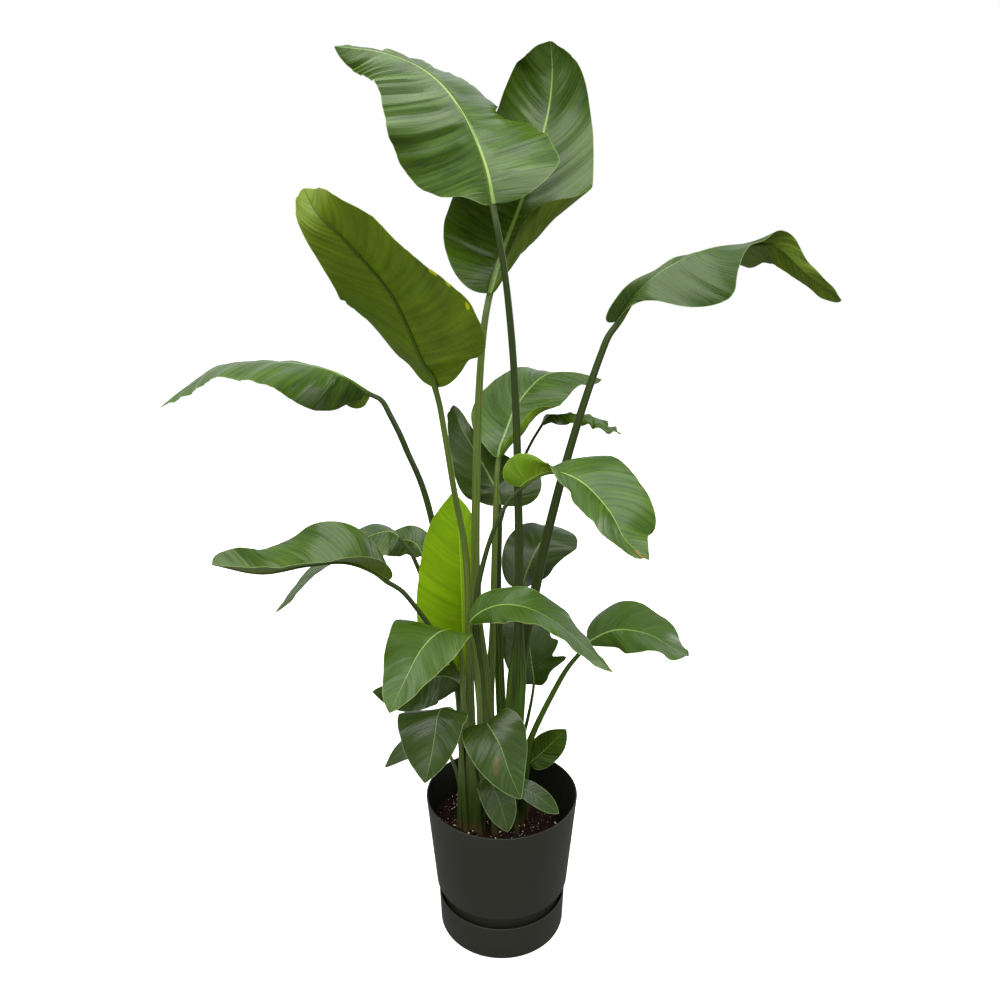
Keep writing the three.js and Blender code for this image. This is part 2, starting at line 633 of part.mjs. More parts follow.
// A closed skin over rings of equally many points. The second half of each ring is split
// the other way, so that both sides of a blade have the same triangles.
function skin(rings) {
  const count = rings[0].length;
  const index = [];
  for (let i = 0; i + 1 < rings.length; i++) {
    for (let j = 0; j < count; j++) {
      const a = i * count + j;
      const b = i * count + ((j + 1) % count);
      const c = b + count;
      const d = a + count;
      if (j < count / 2) index.push(a, b, c, a, c, d);
      else index.push(a, b, d, b, c, d);
    }
  }
  const top = (rings.length - 1) * count;
  for (let j = 1; j + 1 < count; j++) {
    index.push(0, j + 1, j);
    index.push(top, top + j, top + j + 1);
  }
  const geometry = new THREE.BufferGeometry().setFromPoints(rings.flat());
  geometry.setIndex(index);
  return geometry;
}

// One leaf in one piece: the stalk's foot in the soil, the stalk, and the blade.
function leafBody(leaf) {
  const { rows, shares } = leaf.half > LARGE.above ? LARGE : SMALL;
  const columns = shares.length;
  const { curve, joint } = spine(leaf);
  const [x, y] = leaf.foot;
  const [low, high] = leaf.thick;
  const ground = frameAt(leaf, curve, 0, 0);
  const face = ground.face.setZ(0).normalize();
  const side = new THREE.Vector3(0, 0, 1).cross(face);
  const buried = new THREE.Vector3(x, y, soilTop(x, y) - ROOT_DEPTH);
  const rings = [
    stalkRing(buried, side, face, low, columns),
    stalkRing(ground.point, side, face, low, columns),
  ];
  const steps = 2 * leaf.stem.length;
  for (let i = 1; i < steps; i++) {
    const share = i / steps;
    const at = frameAt(leaf, curve, joint * share, 0);
    const radius = high + (low - high) * (1 - share) ** STALK_TAPER;
    rings.push(stalkRing(at.point, at.side, at.face, radius, columns));
  }
  rings.push(...bladeRings(leaf, curve, joint, rows, shares));
  return skin(rings);
}

function part(name, geometry, color, roughness) {
  const material = new THREE.MeshStandardMaterial({ color, roughness, metalness: 0 });
  const mesh = new THREE.Mesh(geometry, material);
  mesh.name = name;
  return mesh;
}

const plant = new THREE.Group();
plant.add(part("planter_body", planterBody(), PLASTIC.color, PLASTIC.roughness));
plant.add(part("water_tray", waterTray(), PLASTIC.color, PLASTIC.roughness));
plant.add(part("soil", soilBody(), EARTH.color, EARTH.roughness));
for (const leaf of LEAVES) {
  plant.add(part(leaf.name, leafBody(leaf), leaf.color ?? GREEN, GLOSS));
}

export default plant;
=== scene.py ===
"""A potted giant bird of paradise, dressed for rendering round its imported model."""
import math

import bpy
import numpy as np
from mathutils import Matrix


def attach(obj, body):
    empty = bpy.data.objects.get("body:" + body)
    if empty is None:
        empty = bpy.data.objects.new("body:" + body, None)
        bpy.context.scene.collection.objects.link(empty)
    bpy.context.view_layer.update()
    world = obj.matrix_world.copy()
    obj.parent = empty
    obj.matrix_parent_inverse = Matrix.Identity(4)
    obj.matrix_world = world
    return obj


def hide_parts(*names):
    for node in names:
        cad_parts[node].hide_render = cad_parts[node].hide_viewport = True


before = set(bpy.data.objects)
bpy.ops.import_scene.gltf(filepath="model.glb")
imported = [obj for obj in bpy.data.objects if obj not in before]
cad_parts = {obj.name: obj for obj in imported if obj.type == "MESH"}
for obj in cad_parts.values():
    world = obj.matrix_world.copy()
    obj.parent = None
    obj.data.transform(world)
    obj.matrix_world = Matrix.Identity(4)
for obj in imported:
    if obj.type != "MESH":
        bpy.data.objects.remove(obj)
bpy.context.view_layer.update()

MM = 0.001

# Camera: where the photographer stood, 1.3 m in front of the plant with the lens at 1.17 m,
# tilted down at the pot. The lens is worked out from the ellipses of the pot's rim and tray.
FRAME_WIDTH = 1000
FOCAL_PIXELS = 753.4
CENTRE_COLUMN = 501.8
SENSOR = 36
TILT_DOWN = 13
CAMERA_PLACE = (0, -1.316, 1.167)
camera_data = bpy.data.cameras.new("photo_camera")
camera_data.sensor_width = SENSOR
camera_data.lens = SENSOR * FOCAL_PIXELS / FRAME_WIDTH
camera_data.shift_x = -(CENTRE_COLUMN - FRAME_WIDTH / 2) / FRAME_WIDTH
camera = bpy.data.objects.new("photo_camera", camera_data)
camera.location = CAMERA_PLACE
camera.rotation_euler = (math.radians(90 - TILT_DOWN), 0, 0)
bpy.context.collection.objects.link(camera)
bpy.context.scene.camera = camera

# Studio light: a large softbox in front and overhead gives the leaves their grey green
# sheen, one at the right edges the pot, and a weak fill stands near the camera.
bpy.context.scene.view_settings.view_transform = "Standard"
SOFTBOXES = [
    ("overhead_softbox", (-0.6, -1.7, 4.8), (0, 0, 1.0), (8, 5.5), 640),
    ("right_softbox", (3.2, 1.2, 1.7), (0, 0, 0.8), (1.5, 2.4), 62),
    ("front_fill", (-1.4, -3.6, 1.6), (0, 0, 0.8), (2.4, 2.0), 36),
]
for name, place, target, (width, height), watts in SOFTBOXES:
    light = bpy.data.lights.new(name, "AREA")
    light.shape = "RECTANGLE"
    light.size = width
    light.size_y = height
    light.energy = watts
    lamp = bpy.data.objects.new(name, light)
    lamp.location = place
    aim = np.array(place) - np.array(target)
    reach = math.hypot(aim[0], aim[1])
    lamp.rotation_euler = (math.atan2(reach, aim[2]), 0, math.atan2(aim[0], -aim[1]))
    bpy.context.collection.objects.link(lamp)


def linear(colour):
    """A hex sRGB colour as linear red, green, blue and alpha."""
    parts = np.array([int(colour[i : i + 2], 16) for i in (1, 3, 5)]) / 255
    low = parts / 12.92
    high = ((parts + 0.055) / 1.055) ** 2.4
    return (*np.where(parts <= 0.04045, low, high).tolist(), 1.0)


def feed(node, inputs):
    """Sets a node's sockets, each by its name or number, to a value, or links them to an
    output or to the first output of a node."""
    for key, value in inputs.items():
        if isinstance(value, bpy.types.Node):
            value = value.outputs[0]
        if isinstance(value, bpy.types.NodeSocket):
            node.id_data.links.new(value, node.inputs[key])
        else:
            node.inputs[key].default_value = value


def add_node(tree, kind, inputs=None, **settings):
    """Adds a shader node of a kind with its own settings, and feeds it. A colour Mix takes
    its share at 0 and its two colours at 6 and 7, and gives the result at output 2."""
    made = tree.nodes.new("ShaderNode" + kind)
    for name, value in settings.items():
        setattr(made, name, value)
    feed(made, inputs or {})
    return made


# The sky that lights the plant is dimmer than the white backdrop, which the camera sees and
# the waxy leaves mirror.
BACKDROP = 1.0
SKY = 0.3
MIRRORED_SKY = 0.9
world = bpy.data.worlds.new("studio")
world.use_nodes = True
world.node_tree.nodes.clear()
tree = world.node_tree
backdrop = add_node(tree, "Background", {"Color": linear("#ffffff"), "Strength": BACKDROP})
seen = add_node(tree, "LightPath")
strength = add_node(
    tree, "MapRange", {"Value": seen.outputs["Is Glossy Ray"], "To Min": SKY, "To Max": MIRRORED_SKY}
)
sky = add_node(tree, "Background", {"Color": linear("#f4f8ff"), "Strength": strength})
both = add_node(tree, "MixShader", {0: seen.outputs["Is Camera Ray"], 1: sky, 2: backdrop})
add_node(tree, "OutputWorld", {"Surface": both})
bpy.context.scene.world = world


def material(name):
    """A new material with a bare Principled shader, its node tree and that shader."""
    made = bpy.data.materials.new(name)
    made.use_nodes = True
    made.node_tree.nodes.clear()
    shader = add_node(made.node_tree, "BsdfPrincipled")
    add_node(made.node_tree, "OutputMaterial", {"Surface": shader})
    return made, made.node_tree, shader


# Floor: a wide round sheet of plain pale paper under the tray, lit from below to the white
# of the backdrop all over but for the tray's soft shadow. The plant sees a greyer one, so
# that little light comes up under the leaves. It isn't part of the object.
FLOOR_RADIUS = 40
FLOOR_SIDES = 128
FLOOR_GLOW = 0.55
LIT_RADIUS = 1.6
paper, tree, shader = material("pale_paper_floor")
seen = add_node(tree, "LightPath")
shade = add_node(
    tree,
    "Mix",
    {0: seen.outputs["Is Camera Ray"], 6: linear("#8c8c8a"), 7: linear("#f8f8f6")},
    data_type="RGBA",
)
place = add_node(tree, "TexCoord").outputs["Object"]
away = add_node(tree, "VectorMath", {0: place}, operation="LENGTH")
far = add_node(
    tree, "MapRange", {"Value": away.outputs["Value"], "From Max": LIT_RADIUS, "To Min": FLOOR_GLOW}
)
glow = add_node(tree, "Math", {0: far, 1: seen.outputs["Is Camera Ray"]}, operation="MULTIPLY")
feed(
    shader,
    {
        "Base Color": shade.outputs[2],
        "Roughness": 0.9,
        "Specular IOR Level": 0.1,
        "Emission Color": linear("#ffffff"),
        "Emission Strength": glow,
    },
)
around = np.arange(FLOOR_SIDES) * 2 * np.pi / FLOOR_SIDES
corners = FLOOR_RADIUS * np.stack([np.cos(around), np.sin(around), 0 * around], -1)
mesh = bpy.data.meshes.new("floor")
mesh.from_pydata(corners.tolist(), [], [list(range(FLOOR_SIDES))])
mesh.materials.append(paper)
floor = bpy.data.objects.new("floor", mesh)
bpy.context.collection.objects.link(floor)

# Planter body: a tapered tub of injection moulded polypropylene that overhangs a narrower foot. The foot
# stands on a ring in the tray's water.
RIM_RADIUS = 147.5
RIM_HEIGHT = 278
RIM_ROUND = 1.2
SKIRT_RADIUS = 130
SKIRT_HEIGHT = 94
WALL = 3
FOOT_RADIUS = 117
FOOT_RING_RADIUS = 92
POT_FLOOR = 26
GAP = 0.35
LATHE_SIDES = 192


def turned(profile, sides):
    """A profile of (radius, height) in millimetres, from the axis back to the axis, turned
    about Z: x = r cos a, y = r sin a. Gives points in metres and faces."""
    profile = np.array(profile, float) * MM
    a = np.arange(sides) * 2 * np.pi / sides
    r, z = profile[1:-1].T
    rings = np.stack([np.outer(r, np.cos(a)), np.outer(r, np.sin(a)), np.outer(z, np.ones(sides))], -1)
    points = np.vstack([rings.reshape(-1, 3), [(0, 0, profile[0, 1])], [(0, 0, profile[-1, 1])]])
    i, j = np.meshgrid(np.arange(len(r) - 1), np.arange(sides), indexing="ij")
    k = (j + 1) % sides
    walls = np.stack([i * sides + j, i * sides + k, (i + 1) * sides + k, (i + 1) * sides + j], -1)
    around = np.arange(sides)
    first, last = len(points) - 2, len(points) - 1
    top = (len(r) - 1) * sides
    low_cap = np.stack([np.full(sides, first), (around + 1) % sides, around], -1)
    high_cap = np.stack([np.full(sides, last), top + around, top + (around + 1) % sides], -1)
    return points, walls.reshape(-1, 4).tolist() + low_cap.tolist() + high_cap.tolist()


def arc(centre, radius, start, end, steps):
    """Points of an arc in a profile: the centre plus the radius at angles from start to end."""
    a = np.radians(np.linspace(start, end, steps + 1))
    return list(zip(centre[0] + radius * np.cos(a), centre[1] + radius * np.sin(a)))


def piece(name, points, faces, materials, crease=40):
    """A smooth mesh piece with sharp edges above the crease angle in degrees."""
    mesh = bpy.data.meshes.new(name)
    mesh.from_pydata(np.asarray(points).tolist(), [], faces)
    for made in materials:
        mesh.materials.append(made)
    mesh.shade_smooth()
    mesh.set_sharp_from_angle(angle=math.radians(crease))
    made = bpy.data.objects.new(name, mesh)
    bpy.context.collection.objects.link(made)
    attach(made, "root")
    return made


# Moulded polypropylene in anthracite: matt, with a fine eroded grain from the mould and a
# soft highlight that gets brighter at the edges. Its tone changes over large patches.
GRAIN = 1.2
GRAIN_DEPTH = 0.1
TONE_PATCH = 167
POLYPROPYLENE_IOR = 1.49
plastic, tree, shader = material("moulded_polypropylene_anthracite")
place = add_node(tree, "TexCoord").outputs["Object"]
cloudy = add_node(tree, "TexNoise", {"Vector": place, "Scale": 1 / (TONE_PATCH * MM), "Detail": 3.0})
tone = add_node(tree, "Mix", {0: cloudy, 6: linear("#191a12"), 7: linear("#1f2017")}, data_type="RGBA")
grain = add_node(tree, "TexNoise", {"Vector": place, "Scale": 1 / (GRAIN * MM), "Detail": 2.0})
rough = add_node(tree, "MapRange", {"Value": cloudy, "To Min": 0.46, "To Max": 0.56})
relief = add_node(tree, "Bump", {"Height": grain, "Strength": 0.25, "Distance": GRAIN_DEPTH * MM})
feed(shader, {"Base Color": tone.outputs[2], "Roughness": rough, "Normal": relief})
feed(shader, {"IOR": POLYPROPYLENE_IOR, "Specular IOR Level": 0.3})

shelf = SKIRT_HEIGHT + WALL
points, faces = turned(
    [
        (0, POT_FLOOR),
        (FOOT_RING_RADIUS - WALL, POT_FLOOR),
        (FOOT_RING_RADIUS - WALL, WALL + GAP),
        (FOOT_RING_RADIUS, WALL + GAP),
        (FOOT_RING_RADIUS, POT_FLOOR),
        *arc((FOOT_RADIUS - WALL, POT_FLOOR + WALL), WALL, -90, 0, 5),
        (FOOT_RADIUS, SKIRT_HEIGHT),
        (SKIRT_RADIUS - 2 * RIM_ROUND, SKIRT_HEIGHT),
        *arc((SKIRT_RADIUS - RIM_ROUND, SKIRT_HEIGHT + RIM_ROUND), RIM_ROUND, -90, 0, 5),
        *arc((RIM_RADIUS - RIM_ROUND, RIM_HEIGHT - RIM_ROUND), RIM_ROUND, 0, 90, 6),
        *arc((RIM_RADIUS - WALL + RIM_ROUND, RIM_HEIGHT - RIM_ROUND), RIM_ROUND, 90, 180, 6),
        (SKIRT_RADIUS - WALL, shelf),
        (FOOT_RADIUS - WALL, shelf),
        (FOOT_RADIUS - WALL, POT_FLOOR + WALL),
        (0, POT_FLOOR + WALL),
    ],
    LATHE_SIDES,
)
planter = piece("planter_tub", points, faces, [plastic])
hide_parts("planter_body")

# Water tray: a low round dish of the same plastic, with a softened lower edge and a thin
# rim. The planter body stands in it, and a dark gap shows between the two.
TRAY_RADIUS = 125.5
TRAY_FOOT_RADIUS = 123
TRAY_HEIGHT = 68
TRAY_WALL = 2.5
TRAY_FLOOR = 3
EDGE_ROUND = 4
inner = TRAY_FOOT_RADIUS - TRAY_WALL
points, faces = turned(
    [
        (0, 0),
        *arc((TRAY_FOOT_RADIUS - EDGE_ROUND, EDGE_ROUND), EDGE_ROUND, -90, 0, 8),
        *arc((TRAY_RADIUS - RIM_ROUND, TRAY_HEIGHT - RIM_ROUND), RIM_ROUND, 0, 180, 12),
        *arc((inner - EDGE_ROUND, TRAY_FLOOR + EDGE_ROUND), EDGE_ROUND, 0, -90, 8),
        (0, TRAY_FLOOR),
    ],
    LATHE_SIDES,
)
tray = piece("water_dish", points, faces, [plastic])
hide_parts("water_tray")

# Soil: dark reddish brown potting mix, a low mound that is higher at the left. Its relief
# is crumbly, and coarser crumbs and white perlite lie in it.
SOIL_CENTRE = 200
SOIL_FALL = 12
SOIL_SLOPE = 0.2
SOIL_RINGS = 90
SOIL_SIDES = 192
soil_random = np.random.default_rng(7)


def soil_height(x, y):
    """Height in millimetres of the mound: the centre height, less a fall with the square of
    the share of the radius, less a slope to the right."""
    share = np.hypot(x, y) / (RIM_RADIUS - WALL)
    return SOIL_CENTRE - SOIL_FALL * share**2 - SOIL_SLOPE * x


def rumpled(x, y, waves, random):
    """A sum of sine waves in random directions. waves lists (count, wavelength, height), and
    each wave is height * sin(2 pi distance / wavelength + phase)."""
    total = np.zeros_like(x)
    for count, wavelength, height in waves:
        angles = random.uniform(0, 2 * np.pi, count)
        lengths = wavelength * random.uniform(0.7, 1.4, count)
        phases = random.uniform(0, 2 * np.pi, count)
        for angle, length, phase in zip(angles, lengths, phases):
            along = x * np.cos(angle) + y * np.sin(angle)
            total += height * np.sin(2 * np.pi * along / length + phase)
    return total


SOIL_WAVES = [(6, 60, 0.9), (10, 22, 0.6), (14, 9, 0.45), (18, 5, 0.25)]


def soil_relief(x, y):
    """The mound with its crumbly relief."""
    return soil_height(x, y) + rumpled(x, y, SOIL_WAVES, np.random.default_rng(11))


# Peat and composted bark: nearly black brown, rough, with clumps and redder, paler fibres.
CLUMP = 6
CLUMP_DEPTH = 2
FIBRE = 1.5
earth, tree, shader = material("peat_potting_soil")
place = add_node(tree, "TexCoord").outputs["Object"]
clumps = add_node(
    tree, "TexNoise", {"Vector": place, "Scale": 1 / (CLUMP * MM), "Detail": 5.0, "Roughness": 0.65}
)
fibres = add_node(tree, "TexNoise", {"Vector": place, "Scale": 1 / (FIBRE * MM), "Detail": 3.0})
brown = add_node(tree, "Mix", {0: clumps, 6: linear("#070402"), 7: linear("#2c180c")}, data_type="RGBA")
fleck = add_node(tree, "MapRange", {"Value": fibres, "From Min": 0.58, "From Max": 0.72, "To Max": 0.55})
earthy = add_node(tree, "Mix", {0: fleck, 6: brown.outputs[2], 7: linear("#5e3519")}, data_type="RGBA")
relief = add_node(tree, "Bump", {"Height": clumps, "Strength": 1.0, "Distance": CLUMP_DEPTH * MM})
feed(shader, {"Base Color": earthy.outputs[2], "Normal": relief})
feed(shader, {"Roughness": 0.92, "Specular IOR Level": 0.2})

slope = (RIM_RADIUS - SKIRT_RADIUS) / (RIM_HEIGHT - shelf)
low = POT_FLOOR + WALL + GAP
foot = FOOT_RADIUS - WALL - GAP
edge = SKIRT_RADIUS - WALL - GAP + slope * (SOIL_CENTRE - SOIL_FALL - SOIL_SLOPE * RIM_RADIUS - shelf)
profile = [(0, low), (foot, low), (foot, shelf + GAP), (SKIRT_RADIUS - WALL - GAP, shelf + GAP)]
profile += [(r, SOIL_CENTRE) for r in np.linspace(edge, 0, SOIL_RINGS)]
points, faces = turned(profile, SOIL_SIDES)
x, y, z = points.T / MM
top = z > SOIL_CENTRE - 1
points[top, 2] = MM * soil_relief(x[top], y[top])
soil = piece("potting_soil", points, faces, [earth], crease=180)
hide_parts("soil")


def crumbs(count, smallest, largest, reach, sunk, random):
    """Irregular crumbs of 20 faces strewn on the soil. Each is an icosahedron whose corners
    are moved in or out, stretched, turned, and set at a random spot within the reach."""
    golden = (1 + 5**0.5) / 2
    corners = []
    for a in (-1, 1):
        for b in (-golden, golden):
            corners += [(0, a, b), (a, b, 0), (b, 0, a)]
    corners = np.array(corners, float) / math.hypot(1, golden)
    apart = np.linalg.norm(corners[:, None] - corners[None], axis=-1)
    touch = (apart > 0.1) & (apart < 1.2)
    solid = []
    for a in range(12):
        for b in range(a + 1, 12):
            for c in range(b + 1, 12):
                if touch[a, b] and touch[b, c] and touch[a, c]:
                    normal = np.cross(corners[b] - corners[a], corners[c] - corners[a])
                    outward = normal @ corners[a] > 0
                    solid.append((a, b, c) if outward else (a, c, b))
    sizes = smallest + (largest - smallest) * random.uniform(0, 1, count) ** 2.5
    radius = reach * np.sqrt(random.uniform(0, 1, count))
    around = random.uniform(0, 2 * np.pi, count)
    x, y = radius * np.cos(around), radius * np.sin(around)
    shapes = corners[None] * random.uniform(0.7, 1.15, (count, 12, 1))
    shapes = shapes * random.uniform(0.6, 1.2, (count, 1, 3)) * sizes[:, None, None] / 2
    c, s = np.cos(around * 3), np.sin(around * 3)
    turn = np.stack([np.stack([c, -s, 0 * c], -1), np.stack([s, c, 0 * c], -1), [(0, 0, 1)] * count], 1)
    shapes = np.einsum("nij,nkj->nki", turn, shapes)
    height = soil_relief(x, y) + sizes * (0.5 - sunk)
    points = shapes + np.stack([x, y, height], -1)[:, None]
    faces = np.array(solid)[None] + 12 * np.arange(count)[:, None, None]
    return points.reshape(-1, 3) * MM, faces.reshape(-1, 3).tolist()


# Crumbs of the same mix and bits of bark, 2 to 9 mm across, sunk a third into the soil.
CRUMB_COUNT = 1500
CRUMB_SIZES = (2, 9)
CRUMB_SUNK = 0.35
CRUMB_MARGIN = 5
points, faces = crumbs(CRUMB_COUNT, *CRUMB_SIZES, edge - CRUMB_MARGIN, CRUMB_SUNK, soil_random)
soil_crumbs = piece("soil_crumbs", points, faces, [earth], crease=180)

# Perlite: puffed volcanic glass, chalk white with fine pores, in grains of 1 to 5 mm.
PERLITE_COUNT = 900
PERLITE_SIZES = (0.9, 5)
PERLITE_SUNK = 0.2
PERLITE_MARGIN = 6
PORE = 2
perlite, tree, shader = material("perlite")
place = add_node(tree, "TexCoord").outputs["Object"]
pores = add_node(tree, "TexNoise", {"Vector": place, "Scale": 1 / (PORE * MM), "Detail": 3.0})
white = add_node(tree, "Mix", {0: pores, 6: linear("#a89c84"), 7: linear("#f0eadc")}, data_type="RGBA")
feed(shader, {"Base Color": white.outputs[2], "Roughness": 0.85})
points, faces = crumbs(PERLITE_COUNT, *PERLITE_SIZES, edge - PERLITE_MARGIN, PERLITE_SUNK, soil_random)
grains = piece("perlite_grains", points, faces, [perlite], crease=180)

# Leaves: paddle-shaped blades of soft green leaf, each on a firm stalk that comes out of the
# soil and runs on as the midrib under its blade. Stalk, midrib and blade are one piece, and
# an old stalk clasps its neighbours with the sheath at its foot.

